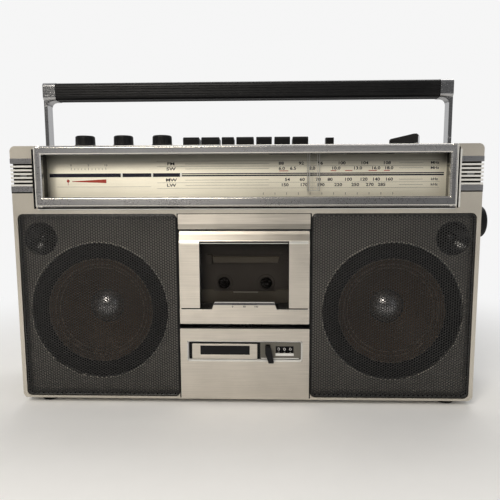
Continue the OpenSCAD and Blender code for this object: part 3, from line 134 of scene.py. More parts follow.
def inside(tree, x, y, z):
    """1 inside a box of the cabinet's own axes, in millimetres, on its left and right sides alike."""
    scaled = {0: object_place(tree), 1: (-SHIFT[0], -SHIFT[1], -SHIFT[2]), 3: (1 / MM, 1 / MM, 1 / MM)}
    axes = put(tree, "ShaderNodeSeparateXYZ", {0: put(tree, "ShaderNodeMapping", scaled).outputs[0]})
    across = math_node(tree, "ABSOLUTE", axes.outputs["X"])
    share = math_node(tree, "MULTIPLY", between(tree, across, *x), between(tree, axes.outputs["Y"], *y))
    return math_node(tree, "MULTIPLY", share, between(tree, axes.outputs["Z"], *z))


def shaded(colour, factor):
    return tuple(min(1.0, c * factor) for c in colour)


# Kinds of material

# Features per metre of the clouds in the colour, of pits and their patches, and of rubbed places
CLOUD_GRAIN = 25.0
PIT_GRAIN = 420.0
PIT_PATCH_GRAIN = 30.0
RUB_GRAIN = 160.0
FINE_SHARE = 0.55
WEAR_RADIUS = 0.7 * MM
ACRYLIC_INDEX = 1.49


def new_material(name):
    """A new material, its node tree and its main shader."""
    material = bpy.data.materials.new(name)
    material.use_nodes = True
    return material, material.node_tree, material.node_tree.nodes["Principled BSDF"]


def surface(name, colour, rough, metal=0.0, grain=900.0, stretch=(1, 1, 1), mottle=0.10, bump=0.03,
            rough_span=0.08, wear=None, pits=0.0, specular=0.5, brushed=0.0, zones=()):
    """A material with mottled colour, grain in its relief and gloss, wear along its edges and painted zones,
    some of which are painted shade or painted highlight.
    A brushed one spreads its highlights across the brushing, which runs along x."""
    material, tree, shader = new_material(name)
    fine = noise(tree, grain, 4.0, 3.1, stretch)
    broad = noise(tree, CLOUD_GRAIN, 5.0, 7.7)
    tone = math_node(tree, "ADD", math_node(tree, "MULTIPLY", fine, FINE_SHARE),
                     math_node(tree, "MULTIPLY", broad, 1 - FINE_SHARE))
    share = ranged(tree, tone, 0.32, 0.68, 0.0, 1.0)
    base = blend_colours(tree, share, shaded(colour, 1 - mottle), shaded(colour, 1 + mottle))
    gloss = ranged(tree, tone, 0.3, 0.7, rough - rough_span, rough + rough_span)
    height = fine
    if pits:
        spots = ranged(tree, noise(tree, PIT_GRAIN, 2.0, 11.0), 0.60, 0.70, 0.0, 1.0)
        patches = ranged(tree, noise(tree, PIT_PATCH_GRAIN, 3.0, 5.0), 0.45, 0.65, 0.0, 1.0)
        pitted = math_node(tree, "MULTIPLY", spots, patches)
        base = blend_colours(tree, math_node(tree, "MULTIPLY", pitted, pits), base, shaded(colour, 0.35))
        gloss = math_node(tree, "ADD", gloss, math_node(tree, "MULTIPLY", pitted, 0.3), clamp=True)
        height = math_node(tree, "SUBTRACT", fine, pitted)
    if wear:
        rubbed = ranged(tree, noise(tree, RUB_GRAIN, 4.0, 2.0), 0.42, 0.62, 0.0, 1.0)
        worn = math_node(tree, "MULTIPLY", edge_mask(tree, WEAR_RADIUS), rubbed)
        base = blend_colours(tree, worn, base, wear)
    for x, y, z, paint in zones:
        painted = blend_colours(tree, share, shaded(paint, 0.8), shaded(paint, 1.2))
        base = blend_colours(tree, inside(tree, x, y, z), base, painted)
    tree.links.new(base, shader.inputs["Base Color"])
    tree.links.new(gloss, shader.inputs["Roughness"])
    carved = {"Strength": min(1.0, bump * 10), "Distance": bump * MM, "Height": height}
    tree.links.new(put(tree, "ShaderNodeBump", carved).outputs[0], shader.inputs["Normal"])
    shader.inputs["Metallic"].default_value = metal
    shader.inputs["Specular IOR Level"].default_value = specular
    if brushed:
        along = put(tree, "ShaderNodeTangent", direction_type="RADIAL", axis="Z").outputs[0]
        tree.links.new(along, shader.inputs["Tangent"])
        shader.inputs["Anisotropic"].default_value = brushed
        shader.inputs["Anisotropic Rotation"].default_value = 0.25
    return material


def see_through(name, tint, passing_tint, index=ACRYLIC_INDEX):
    """Thin clear or smoked acrylic: its gloss on top of what shows through it."""
    material, tree, shader = new_material(name)
    smear = noise(tree, 60.0, 4.0, 9.0, (1, 1, 2.5))
    scratch = noise(tree, 900.0, 2.0, 4.0, (0.05, 1, 1))
    tree.links.new(blend_colours(tree, smear, shaded(tint, 0.9), tint), shader.inputs["Base Color"])
    tree.links.new(ranged(tree, smear, 0.3, 0.7, 0.03, 0.11), shader.inputs["Roughness"])
    carved = {"Strength": 0.06, "Distance": 0.02 * MM, "Height": scratch}
    tree.links.new(put(tree, "ShaderNodeBump", carved).outputs[0], shader.inputs["Normal"])
    shader.inputs["IOR"].default_value = index
    passing = put(tree, "ShaderNodeBsdfTransparent", {"Color": (*passing_tint, 1.0)}).outputs[0]
    facing = put(tree, "ShaderNodeFresnel", {"IOR": index}).outputs[0]
    share = ranged(tree, facing, 0.0, 1.0, 0.01, 1.0)
    mixed = put(tree, "ShaderNodeMixShader", {0: share, 1: passing, 2: shader.outputs[0]})
    tree.links.new(mixed.outputs[0], tree.nodes["Material Output"].inputs["Surface"])
    return material


def darken_upwards(material, low, high, most, shade):
    """Paints shade into a colour: it fades into a darker one between two heights, in metres."""
    tree = material.node_tree
    colour_input = tree.nodes["Principled BSDF"].inputs["Base Color"]
    axes = put(tree, "ShaderNodeSeparateXYZ", {0: object_place(tree)})
    share = ranged(tree, axes.outputs["Z"], low, high, 0.0, most)
    plain = colour_input.links[0].from_socket
    tree.links.new(blend_colours(tree, share, plain, shade), colour_input)


# Materials. A painted zone has its ranges of x, y and z in millimetres, and its colour.

BLACK = (0.010, 0.010, 0.010)
CABINET_BAFFLE_AND_SHADE_ZONES = (
    ((64.8, 221.4), (1.2, 40.0), (8.0, 192.4), (0.24, 0.225, 0.20)),
    # The cabinet behind the centre column, painted black as shade in the gaps round its plates and door
    ((0.0, 65.1), (-0.3, 40.0), (7.2, 192.1), BLACK),
    # The walls of the dial's tunnel, painted darker as shade in the recess
    ((0.0, 199.4), (0.3, 40.0), (199.0, 256.0), (0.085, 0.080, 0.070)),
    # The grooves between the ribs of the end blocks, painted black as their shade
    ((203.0, 224.7), (0.3, 6.0), (216.6, 241.0), BLACK),
)
DOOR_SHADE_AND_HIGHLIGHT_ZONES = (
    # The inner walls of the cassette window, painted black as shade
    ((0.0, 43.9), (-1.75, 6.0), (98.6, 165.4), BLACK),
    # The sloped tops of the door's pillars, painted pale as their highlight
    ((43.6, 61.9), (-2.2, -0.6), (162.6, 165.6), (0.86, 0.83, 0.77)),
    # A darker band over the door's top rail, painted as shade on its slope
    ((0.0, 64.0), (-12.0, 0.5), (166.2, 182.0), (0.36, 0.335, 0.295)),
)

silver_paint = surface("silver_paint", (0.56, 0.52, 0.45), 0.36, 0.72, 2600.0, mottle=0.09, bump=0.02,
                       wear=(0.72, 0.68, 0.60), zones=CABINET_BAFFLE_AND_SHADE_ZONES)
brushed_aluminium = surface("brushed_aluminium", (0.60, 0.555, 0.49), 0.36, 0.95, 2200.0, (0.012, 0.6, 1.0),
                            mottle=0.16, bump=0.02, wear=(0.86, 0.82, 0.74), rough_span=0.10, brushed=0.6,
                            zones=DOOR_SHADE_AND_HIGHLIGHT_ZONES)
dial_plate = surface("dial_plate", (0.94, 0.88, 0.74), 0.44, 0.30, 2600.0, (0.008, 0.6, 1.0), mottle=0.08,
                     bump=0.012, rough_span=0.06, brushed=0.8)
# The top of the dial scale is painted darker, as the shadow of the dial frame's top bar
darken_upwards(dial_plate, 0.234, 0.2465, 0.75, (0.10, 0.092, 0.075))

bright_chrome = surface("bright_chrome", (0.40, 0.40, 0.405), 0.17, 1.0, mottle=0.06, bump=0.003, pits=0.10,
                        rough_span=0.03)
pitted_chrome = surface("pitted_chrome", (0.38, 0.375, 0.38), 0.28, 1.0, mottle=0.08, bump=0.003, pits=0.2,
                        rough_span=0.02)
polished_edge = surface("polished_edge", (0.80, 0.77, 0.70), 0.22, 1.0, 1500.0, (0.05, 1, 1), mottle=0.08,
                        bump=0.012)
plated_steel = surface("plated_steel", (0.48, 0.49, 0.50), 0.32, 1.0, 500.0, mottle=0.14, bump=0.015)
brass = surface("brass", (0.72, 0.55, 0.24), 0.28, 1.0, 800.0, mottle=0.12, bump=0.012)
dust_cap = surface("dust_cap", (0.42, 0.41, 0.41), 0.27, 0.9, mottle=0.12, bump=0.006, rough_span=0.03)

graphite_plastic = surface("graphite_plastic", (0.030, 0.030, 0.032), 0.48, 0.0, 1500.0, mottle=0.25,
                           bump=0.12, wear=(0.10, 0.10, 0.10))
black_plastic = surface("black_plastic", (0.0055, 0.0055, 0.006), 0.40, 0.0, 1900.0, mottle=0.3, bump=0.03,
                        wear=(0.040, 0.040, 0.040), rough_span=0.10, specular=0.18)
black_steel = surface("black_steel", (0.015, 0.0145, 0.014), 0.32, 0.0, 2400.0, mottle=0.25, bump=0.01,
                      wear=(0.05, 0.05, 0.047), specular=0.32)
gloss_black = surface("gloss_black", (0.004, 0.004, 0.0045), 0.20, mottle=0.3, bump=0.01, specular=0.8)
rubber = surface("rubber", (0.0025, 0.0025, 0.003), 0.62, 0.0, 1300.0, mottle=0.3, bump=0.05, specular=0.1)
paper_cone = surface("paper_cone", (0.070, 0.043, 0.024), 0.50, 0.0, 1100.0, mottle=0.4, bump=0.06,
                     specular=0.15)
# Lighter paper for the cone's ridges, painted on as their highlight
cone_edge = surface("cone_edge", (0.170, 0.125, 0.090), 0.45, 0.0, 1100.0, mottle=0.3, bump=0.04)
ferrite = surface("ferrite", (0.035, 0.035, 0.038), 0.55, 0.0, 1600.0, mottle=0.35, bump=0.06)
phenolic_board = surface("phenolic_board", (0.30, 0.20, 0.085), 0.48, 0.0, 600.0, mottle=0.2)
white_plastic = surface("white_plastic", (0.66, 0.64, 0.58), 0.45, 0.0, 1400.0, mottle=0.06, bump=0.02)
olive_plastic = surface("olive_plastic", (0.115, 0.108, 0.088), 0.42, 0.2, 1500.0, mottle=0.14,
                        wear=(0.22, 0.21, 0.18))
deck_plastic = surface("deck_plastic", (0.080, 0.075, 0.070), 0.46, 0.0, 1500.0, mottle=0.2, bump=0.05)
deck_ledge = surface("deck_ledge", (0.17, 0.16, 0.135), 0.42, 0.0, 1500.0, mottle=0.15, bump=0.05,
                     wear=(0.32, 0.30, 0.26))
smoke_grey = surface("smoke_grey", (0.060, 0.058, 0.062), 0.30, 0.0, 1500.0, mottle=0.2, bump=0.02)
# A pale colour painted on edges, lips and strips as their highlight
painted_highlight = surface("painted_highlight", (0.66, 0.65, 0.62), 0.35, 0.2, 1500.0, mottle=0.12, bump=0.02)
pale_lip = surface("pale_lip", (0.46, 0.43, 0.38), 0.36, 0.3, 1500.0, mottle=0.12, bump=0.02)

dark_print = surface("dark_print", (0.010, 0.010, 0.022), 0.5, 0.0, 3000.0, mottle=0.3, bump=0.01,
                     specular=0.2)
red_print = surface("red_print", (0.42, 0.035, 0.012), 0.5, 0.0, 3000.0, mottle=0.2, bump=0.01)
white_print = surface("white_print", (0.82, 0.81, 0.77), 0.5, 0.0, 3000.0, mottle=0.05, bump=0.01)

clear_acrylic = see_through("clear_acrylic", (0.03, 0.03, 0.03), (0.992, 0.994, 0.992), 1.3)
pointer_acrylic = see_through("pointer_acrylic", (0.4, 0.4, 0.4), (0.99, 0.99, 0.99), 1.12)
smoked_acrylic = see_through("smoked_acrylic", (0.02, 0.018, 0.018), (0.80, 0.78, 0.76))


# Finish of the imported nodes: material, width of the rounded edges in millimetres, and a brighter edge:
# polished metal on the dial frame, and on the trims and the door frame a pale colour painted on as the edges'
# highlight

FINISH = {
    "front_cabinet": (silver_paint, 0.5), "rear_cabinet": (graphite_plastic, 0.5),
    "top_panel": (graphite_plastic, 0.3), "battery_cover": (graphite_plastic, 0.35),
    "rubber_feet": (rubber, 0.4), "cabinet_screws": (plated_steel, 0.15),
    "dial_bezel": (pitted_chrome, 0.3, polished_edge), "dial_lens": (clear_acrylic, 0.2),
    "dial_scale": (dial_plate, 0.0), "dial_pointer": (pointer_acrylic, 0.3),
    "dial_cord": (black_plastic, 0.0), "tuning_drum": (white_plastic, 0.2),
    "tuning_capacitor": (plated_steel, 0.2), "tuning_knob": (black_plastic, 0.2),
    "left_grille": (black_steel, 0.0), "right_grille": (black_steel, 0.0),
    "woofer_baskets": (plated_steel, 0.3), "woofer_cones": (paper_cone, 0.0), "tweeters": (paper_cone, 0.0),
    "microphones": (plated_steel, 0.2), "trim_plates": (brushed_aluminium, 0.6, painted_highlight),
    "recess_insert": (black_plastic, 0.2), "counter_reset": (black_plastic, 0.4),
    "counter_units_drum": (black_plastic, 0.15), "counter_carry_drums": (black_plastic, 0.15),
    "door_frame": (brushed_aluminium, 0.5, painted_highlight), "door_window": (smoked_acrylic, 0.2),
    "cassette_holder": (black_plastic, 0.2), "mechanism_chassis": (plated_steel, 0.15),
    "head_plate": (plated_steel, 0.2), "supply_spindle": (black_plastic, 0.2),
    "takeup_spindle": (black_plastic, 0.2), "capstan_flywheel": (plated_steel, 0.2),
    "drive_motor": (plated_steel, 0.2), "motor_pulley": (brass, 0.15), "drive_belt": (rubber, 0.15),
    "key_shaft": (plated_steel, 0.15), "key_record": (black_plastic, 0.5), "key_play": (black_plastic, 0.5),
    "key_search": (black_plastic, 0.5), "key_rewind": (black_plastic, 0.5),
    "key_forward": (black_plastic, 0.5), "key_stop_eject": (black_plastic, 0.5),
    "key_pause": (black_plastic, 0.5), "control_pots": (plated_steel, 0.2),
    "volume_knob": (black_plastic, 0.15), "balance_knob": (black_plastic, 0.15),
    "tone_knob": (black_plastic, 0.15), "band_knob": (black_plastic, 0.4),
    "function_switch": (black_plastic, 0.3), "handle_arms": (bright_chrome, 0.5),
    "handle_grip": (black_plastic, 0.2), "antenna_base": (bright_chrome, 0.2),
    "antenna_tube": (bright_chrome, 0.2), "antenna_tip": (bright_chrome, 0.2),
    "main_board": (phenolic_board, 0.15), "ferrite_rod": (ferrite, 0.3),
    "power_transformer": (plated_steel, 0.3), "battery_contacts": (plated_steel, 0.1),
    "jack_panel": (black_plastic, 0.25),
}


def soften(piece, width, bright=None, even=True):
    """Rounds a piece's hard edges and evens its shading, by modifiers alone. The edges may take a brighter
    material, on some pieces a painted highlight.
    """
    weld = piece.modifiers.new("weld", "WELD")
    weld.merge_threshold = 0.01 * MM
    if width:
        bevel = piece.modifiers.new("edges", "BEVEL")
        bevel.width = width * MM
        bevel.segments = 2
        bevel.limit_method = "ANGLE"
        bevel.angle_limit = math.radians(30)
        bevel.use_clamp_overlap = True
        if bright:
            piece.data.materials.append(bright)
            bevel.material = 1
    if even:
        shading = piece.modifiers.new("shading", "WEIGHTED_NORMAL")
        shading.weight = 80


for node_name, (finish, edge, *bright) in FINISH.items():
    node = nodes[node_name]
    node.data.materials.clear()
    node.data.materials.append(finish)
    soften(node, edge, *bright)


# Meshes of the detail pieces

FONT_CAP_SHARE = 0.72


class Build:
    """Collects vertices and faces in millimetres of the cabinet's own axes."""

    def __init__(self):
        self.points = []
        self.faces = []

    def add(self, points, faces):
        start = len(self.points)
        self.points.extend(tuple(p) for p in points)
        self.faces.extend(tuple(i + start for i in f) for f in faces)

    def skin(self, points, count):
        """Faces over closed loops of so many points each. The last loop joins the first."""
        loops = len(points) // count
        faces = []
        for k in range(loops):
            here, there = k * count, (k + 1) % loops * count
            for i in range(count):
                j = (i + 1) % count
                faces.append((here + i, here + j, there + j, there + i))
        self.add(points, faces)

    def prism(self, outline, y0, y1):
        """Solid between two depths. The outline is drawn in (x, z), anticlockwise from the front."""
        count = len(outline)
        points = [(x, y0, z) for x, z in outline] + [(x, y1, z) for x, z in outline]
        sides = [(i, i + count, (i + 1) % count + count, (i + 1) % count) for i in range(count)]
        self.add(points, [tuple(range(count)), tuple(reversed(range(count, 2 * count)))] + sides)

    def slab(self, outline, z0, z1):
        """Solid between two heights. The outline is drawn in (x, y), anticlockwise from above."""
        count = len(outline)
        points = [(x, y, z0) for x, y in outline] + [(x, y, z1) for x, y in outline]
        sides = [(i, (i + 1) % count, (i + 1) % count + count, i + count) for i in range(count)]
        self.add(points, [tuple(reversed(range(count))), tuple(range(count, 2 * count))] + sides)

    def box(self, x, y, z):
        self.prism([(x[0], z[0]), (x[1], z[0]), (x[1], z[1]), (x[0], z[1])], y[0], y[1])

    def lathe(self, profile, x, z, steps=96):
        """Shape turned about an axis along y. The profile is a closed loop of (radius, y)."""
        points = []
        for k in range(steps):
            a = 2 * math.pi * k / steps
            points += [(x + r * math.cos(a), y, z + r * math.sin(a)) for r, y in profile]
        self.skin(points, len(profile))

    def ring(self, profile, x, z, radius, corner_steps=6):
        """Profile of (inset, y) swept round a rectangle with round corners."""
        corners = ((x[1] - radius, z[1] - radius, 0), (x[0] + radius, z[1] - radius, 90),
                   (x[0] + radius, z[0] + radius, 180), (x[1] - radius, z[0] + radius, 270))
        points = []
        for cx, cz, start in corners:
            for k in range(corner_steps + 1):
                a = math.radians(start + 90 * k / corner_steps)
                points += [(cx + (radius - inset) * math.cos(a), y, cz + (radius - inset) * math.sin(a))
                           for inset, y in profile]
        self.skin(points, len(profile))

    def pierced(self, x, z, y, holes):
        """Plate with rectangular holes, each (x0, x1, z0, z1)."""
        xs = sorted({x[0], x[1], *(v for h in holes for v in h[:2])})
        zs = sorted({z[0], z[1], *(v for h in holes for v in h[2:])})
        solid = {}
        for i in range(len(xs) - 1):
            for j in range(len(zs) - 1):
                mx, mz = (xs[i] + xs[i + 1]) / 2, (zs[j] + zs[j + 1]) / 2
                solid[i, j] = not any(h[0] < mx < h[1] and h[2] < mz < h[3] for h in holes)
        rows = len(zs)
        layer = len(xs) * rows
        points = [(a, depth, b) for depth in y for a in xs for b in zs]
        faces = []
        for (i, j), full in solid.items():
            if not full:
                continue
            a, b, c, d = i * rows + j, (i + 1) * rows + j, (i + 1) * rows + j + 1, i * rows + j + 1
            faces += [(a, b, c, d), (d + layer, c + layer, b + layer, a + layer)]
            neighbours = ((a, b, (i, j - 1)), (b, c, (i + 1, j)), (c, d, (i, j + 1)), (d, a, (i - 1, j)))
            for p, q, other in neighbours:
                if not solid.get(other):
                    faces.append((q, p, p + layer, q + layer))
        self.add(points, faces)

    def text(self, words, x, y, z, height, widen, thick, bold=0.0):
        """Upright letters that face the front, centred on (x, z), with their backs at depth y."""
        curve = bpy.data.curves.new("numerals", "FONT")
        curve.body = words
        curve.size = height / FONT_CAP_SHARE
        curve.align_x = "CENTER"
        curve.align_y = "CENTER"
        curve.extrude = thick / 2
        curve.offset = bold
        curve.resolution_u = 3
        writer = add_object("numerals", curve)
        found = writer.evaluated_get(bpy.context.evaluated_depsgraph_get()).to_mesh()
        points = [(x + v.co.x * widen, y - thick / 2 - v.co.z, z + v.co.y) for v in found.vertices]
        self.add(points, [tuple(p.vertices) for p in found.polygons])
        bpy.data.objects.remove(writer)

    def piece(self, name, material, body, slot, edge=0.0, replaces=(), even=True):
        """Turns what was collected into a named piece that rides on a body."""
        mesh = bpy.data.meshes.new(name)
        mesh.from_pydata([at(*p) for p in self.points], [], self.faces)
        work = bmesh.new()
        work.from_mesh(mesh)
        bmesh.ops.remove_doubles(work, verts=work.verts, dist=0.002 * MM)
        bmesh.ops.recalc_face_normals(work, faces=work.faces)
        for face in work.faces:
            face.smooth = True
        work.to_mesh(mesh)
        work.free()
        mesh.materials.append(material)
        made = add_object(name, mesh)
        soften(made, edge, None, even)
        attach(made, body)
        if replaces:
            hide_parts(*replaces)


# Speaker grilles: a sheet with holes in staggered rows, in a rim that is bent back

GRILLE_X = (65.2, 220.8)
GRILLE_Z = (8.4, 191.8)
GRILLE_CORNER = 4.8
GRILLE_RIM = ((1.6, 0.60), (1.1, 0.60), (0.62, 0.71), (0.24, 1.02), (0.03, 1.45), (0.0, 1.9), (0.0, 6.9),
              (0.75, 6.9), (0.75, 1.9), (1.0, 1.5), (1.6, 1.36))
PITCH = 2.68
HOLE = 1.12
SHEET_Y = (0.62, 1.3)

# How far inside the outline a cell's middle lies at least, a hole's middle lies at least, and the sheet ends
CELL_INSET = -0.4
HOLE_INSET = 2.2
SHEET_INSET = 1.15


def inset_of(points):
    """How far each point lies inside the grille's outline."""
    middle = np.array([(GRILLE_X[0] + GRILLE_X[1]) / 2, (GRILLE_Z[0] + GRILLE_Z[1]) / 2])
    half = np.array([(GRILLE_X[1] - GRILLE_X[0]) / 2, (GRILLE_Z[1] - GRILLE_Z[0]) / 2])
    q = np.abs(points - middle) - (half - GRILLE_CORNER)
    outside = np.linalg.norm(np.maximum(q, 0), axis=-1)
    return GRILLE_CORNER - outside - np.minimum(np.max(q, axis=-1), 0)


def held_inside(points, margin):
    """Moves points that lie nearer to the outline than the margin back to it."""
    low = np.array([GRILLE_X[0], GRILLE_Z[0]]) + GRILLE_CORNER
    high = np.array([GRILLE_X[1], GRILLE_Z[1]]) - GRILLE_CORNER
    core = np.clip(points, low, high)
    arm = points - core
    length = np.linalg.norm(arm, axis=-1, keepdims=True)
    limit = GRILLE_CORNER - margin
    return core + arm * np.minimum(1.0, limit / np.maximum(length, 1e-9))


def perforated_grille(name, side, node_name):
    """Sheet of six-sided cells. Each cell well inside the outline has a hole, and shares its corners."""
    step = PITCH * math.sqrt(3) / 2
    columns = int((GRILLE_X[1] - GRILLE_X[0]) / step) + 2
    rows = int((GRILLE_Z[1] - GRILLE_Z[0]) / PITCH) + 2
    centres = np.array([(GRILLE_X[0] + i * step, GRILLE_Z[0] + (j + (i % 2) / 2) * PITCH)
                        for i in range(columns) for j in range(rows)])
    depth = inset_of(centres)
    centres, depth = centres[depth > CELL_INSET], depth[depth > CELL_INSET]
    angles = np.radians(60 * np.arange(6))
    spokes = np.stack([np.cos(angles), np.sin(angles)], -1)
    corners = held_inside(centres[:, None] + spokes * PITCH / math.sqrt(3), SHEET_INSET)
    flat, number = np.unique(np.round(corners.reshape(-1, 2), 3), axis=0, return_inverse=True)
    number = number.reshape(-1, 6)
    open_cells = np.flatnonzero(depth > HOLE_INSET)
    holes = (centres[open_cells][:, None] + spokes * HOLE).reshape(-1, 2)
    plan = np.concatenate([flat, holes])
    layer = len(plan)
    points = [(side * x, y, z) for y in SHEET_Y for x, z in plan]
    faces = []
    borders = set()
    hole_at = {cell: len(flat) + 6 * k for k, cell in enumerate(open_cells)}
    for cell, around in enumerate(number.tolist()):
        first = hole_at.get(cell)
        loop = [c for i, c in enumerate(around) if c != around[i - 1]]
        if first is None and len(loop) < 3:
            continue
        borders.update((loop[k - 1], loop[k]) for k in range(len(loop)))
        if first is None:
            faces += [tuple(loop), tuple(c + layer for c in reversed(loop))]
            continue
        for k in range(6):
            m = (k + 1) % 6
            a, b, c, d = around[k], around[m], first + m, first + k
            faces += [(a, b, c, d), (d + layer, c + layer, b + layer, a + layer)]
            faces.append((d, c, c + layer, d + layer))
    faces += [(b, a, a + layer, b + layer) for a, b in sorted(borders) if (b, a) not in borders]
    made = Build()
    made.add(points, faces)
    made.ring(GRILLE_RIM, span(side, *GRILLE_X), GRILLE_Z, GRILLE_CORNER)
    made.piece(name, black_steel, "cabinet", "black_steel", replaces=(node_name,), even=False)


perforated_grille("left_grille_sheet", -1, "left_grille")
perforated_grille("right_grille_sheet", 1, "right_grille")


# Speakers behind the grilles, each turned about its own middle. Profiles are (radius, y).

WOOFER = (145.6, 94.2)
TWEETER = (202.0, 167.0)
CONE_RIM = 53.4
CONE_NECK = 17.4
CONE_STEPS = 96
CONE_RIDGES = (43.0, 46.8)
CONE_BORDER = 52.4
DOME_RADIUS = 18.2
DOME_BASE = 34.0
DOME_RISE = 11.16
DOME_SWEEP = 1.25
LIP_PROFILE = ((68.7, 7.3), (68.7, 6.4), (69.2, 6.0), (69.9, 6.2), (70.4, 7.3))
SMALL_CONE_PROFILE = ((18.4, 9.9), (18.4, 9.2), (16.0, 8.2), (14.4, 8.8), (13.6, 10.6), (6.0, 13.8),
                      (5.6, 14.6), (13.4, 11.6), (15.0, 12.4), (18.4, 12.4))
SMALL_DOME_PROFILE = ((0.02, 10.2), (2.6, 10.7), (4.6, 12.0), (5.8, 14.0), (5.8, 14.9), (0.02, 14.9))


def bow(r0, r1, y0, lift, steps=10):
    """Half roll between two radii, standing forward of y0."""
    return [(r0 + (r1 - r0) * k / steps, y0 - lift * math.sin(math.pi * k / steps)) for k in range(steps + 1)]


def cone_depth(r):
    """Depth of the paper cone at a radius."""
    return 9.6 + 23.0 * ((CONE_RIM - r) / (CONE_RIM - CONE_NECK)) ** 1.15


def cone_profile():
    """Front and back of the paper cone, with its two low ridges."""
    front, back = [], []
    for k in range(CONE_STEPS + 1):
        r = CONE_RIM + (CONE_NECK - CONE_RIM) * k / CONE_STEPS
        ridge = sum(math.exp(-((r - ring) / 0.75) ** 2) for ring in CONE_RIDGES)
        y = cone_depth(r) - 0.5 * ridge
        front.append((r, y))
        back.append((r + 0.3, y + 0.7))
    return front + back[::-1]


def ridge_profile(ring):
    base, top = cone_depth(ring) + 0.3, cone_depth(ring) - 0.75
    return [(ring + 0.55, base), (ring + 0.3, top), (ring - 0.3, top), (ring - 0.55, base)]


def dome_profile():
    """Dust cap, as a thin shell."""
    low = math.cos(DOME_SWEEP)
    shell = [(max(DOME_RADIUS * math.sin(a), 0.02), DOME_BASE - DOME_RISE * (math.cos(a) - low) / (1 - low))
             for a in np.linspace(0.0, DOME_SWEEP, 14)]
    return shell + [(17.3, 35.0), (0.02, 33.0)]


SURROUND_PROFILE = ([(68.4, 9.2)] + bow(63.4, 53.2, 9.2, 4.6) + [(52.6, 9.7)] + bow(53.8, 62.8, 10.0, 3.9)
                    + [(68.4, 9.98)])
surrounds, cones, ridges, lips = Build(), Build(), Build(), Build()
caps, small_cones, small_domes = Build(), Build(), Build()
for side in (-1, 1):
    x, z = side * WOOFER[0], WOOFER[1]
    surrounds.lathe(SURROUND_PROFILE, x, z)
    cones.lathe(cone_profile(), x, z)
    for ring in (*CONE_RIDGES, CONE_BORDER):
        ridges.lathe(ridge_profile(ring), x, z)
    lips.lathe(LIP_PROFILE, x, z)
    caps.lathe(dome_profile(), x, z, 64)
    x, z = side * TWEETER[0], TWEETER[1]
    small_cones.lathe(SMALL_CONE_PROFILE, x, z, 64)
    small_domes.lathe(SMALL_DOME_PROFILE, x, z, 48)
surrounds.piece("woofer_surrounds", rubber, "cabinet", "rubber", replaces=("woofer_cones",))
cones.piece("woofer_paper", paper_cone, "cabinet", "paper_cone", replaces=("woofer_cones",))
# The ridges are painted lighter than the cone, as their highlight
ridges.piece("woofer_ridges", cone_edge, "cabinet", "paper_cone", replaces=("woofer_cones",))
lips.piece("woofer_lips", pale_lip, "cabinet", "silver_plastic")
caps.piece("woofer_caps", dust_cap, "cabinet", "paper_cone", replaces=("woofer_cones",))
small_cones.piece("tweeter_cones", gloss_black, "cabinet", "paper_cone", replaces=("tweeters",))
small_domes.piece("tweeter_domes", gloss_black, "cabinet", "paper_cone", replaces=("tweeters",))


# Print on the dial: numerals, rules, the thick strip and the level wedge

DIAL_Y = 14.0
FILM = 0.08
PRINT_Y = (DIAL_Y - FILM, DIAL_Y)
BAND_X = -72.0
UNIT_X = 184.0

# Letters, unit and height of each band, and its numerals with their places along the dial
BANDS = (
    ("FM", "MHz", 239.9,
     (("88", 36), ("92", 55.5), ("96", 74), ("100", 94.5), ("104", 116.5), ("108", 138))),
    ("SW", "MHz", 235.0,
     (("6.0", 36.5), ("6.5", 47.5), ("8.0", 66), ("10.0", 89), ("13.0", 110), ("16.0", 127.5),
      ("18.0", 140))),
    ("MW", "kHz", 224.2,
     (("54", 42), ("60", 56.5), ("70", 72), ("80", 83.5), ("100", 101), ("120", 116), ("140", 128),
      ("160", 140.5))),
    ("LW", "kHz", 219.1,
     (("150", 39.5), ("170", 58), ("190", 74.5), ("220", 91.5), ("250", 108), ("270", 122), ("285", 133.5))),
)
STRIP_RUNS = ((-193.0, -121.9), (-120.1, -91.6), (-89.8, -63.2))
STRIP_GAPS = (-121.0, -90.7, -62.3)
RED_RUNS = ((34, 43), (84, 89.5), (98, 105), (120.5, 128.5), (135.5, 141))
LEVEL_X = -171.0
LEVEL_STEP = 3.45


def rule(made, x0, x1, z, thick):
    made.box((x0, x1), PRINT_Y, (z - thick / 2, z + thick / 2))


def tick(made, x, half, z0, z1):
    made.box((x - half, x + half), PRINT_Y, (z0, z1))


def disc(x, y, r, steps):
    return [(x + r * math.cos(a), y + r * math.sin(a)) for a in np.linspace(0, 2 * math.pi, steps + 1)[:-1]]


ink, red_ink, white_ink = Build(), Build(), Build()
for letters, unit, z, numerals in BANDS:
    for words, x in numerals:
        ink.text(words, x, DIAL_Y, z, 2.9, 1.25, FILM, 0.10)
    ink.text(letters, BAND_X, DIAL_Y, z, 2.9, 1.5, FILM, 0.10)
    ink.text(unit, UNIT_X, DIAL_Y, z, 2.5, 1.2, FILM, 0.06)
    rule(ink, -58, 24, z, 0.22)
    rule(ink, 150, 173, z, 0.22)
for z in (242.6, 237.4, 221.7, 216.2):
    rule(ink, -86, 189, z, 0.18)
for k in range(12):
    tick(ink, 18.5 + 11.45 * k, 0.2, 209.6, 211.8)
for x0, x1 in STRIP_RUNS:
    ink.box((x0, x1), PRINT_Y, (227.4, 231.0))
for x in STRIP_GAPS:
    tick(white_ink, x, 0.9, 227.0, 231.4)
rule(ink, -61.4, 193.0, 230.3, 1.0)
rule(ink, -61.4, 193.0, 228.5, 1.4)
for x0, x1 in RED_RUNS:
    rule(red_ink, x0, x1, 232.7, 0.7)
red_ink.prism([(-170.5, 222.9), (-136.4, 221.6), (-136.4, 225.3), (-170.5, 223.5)], *PRINT_Y)
red_ink.prism(disc(-174.6, 223.7, 1.5, 16), *PRINT_Y)
tick(red_ink, -174.6, 0.2, 219.6, 222.4)
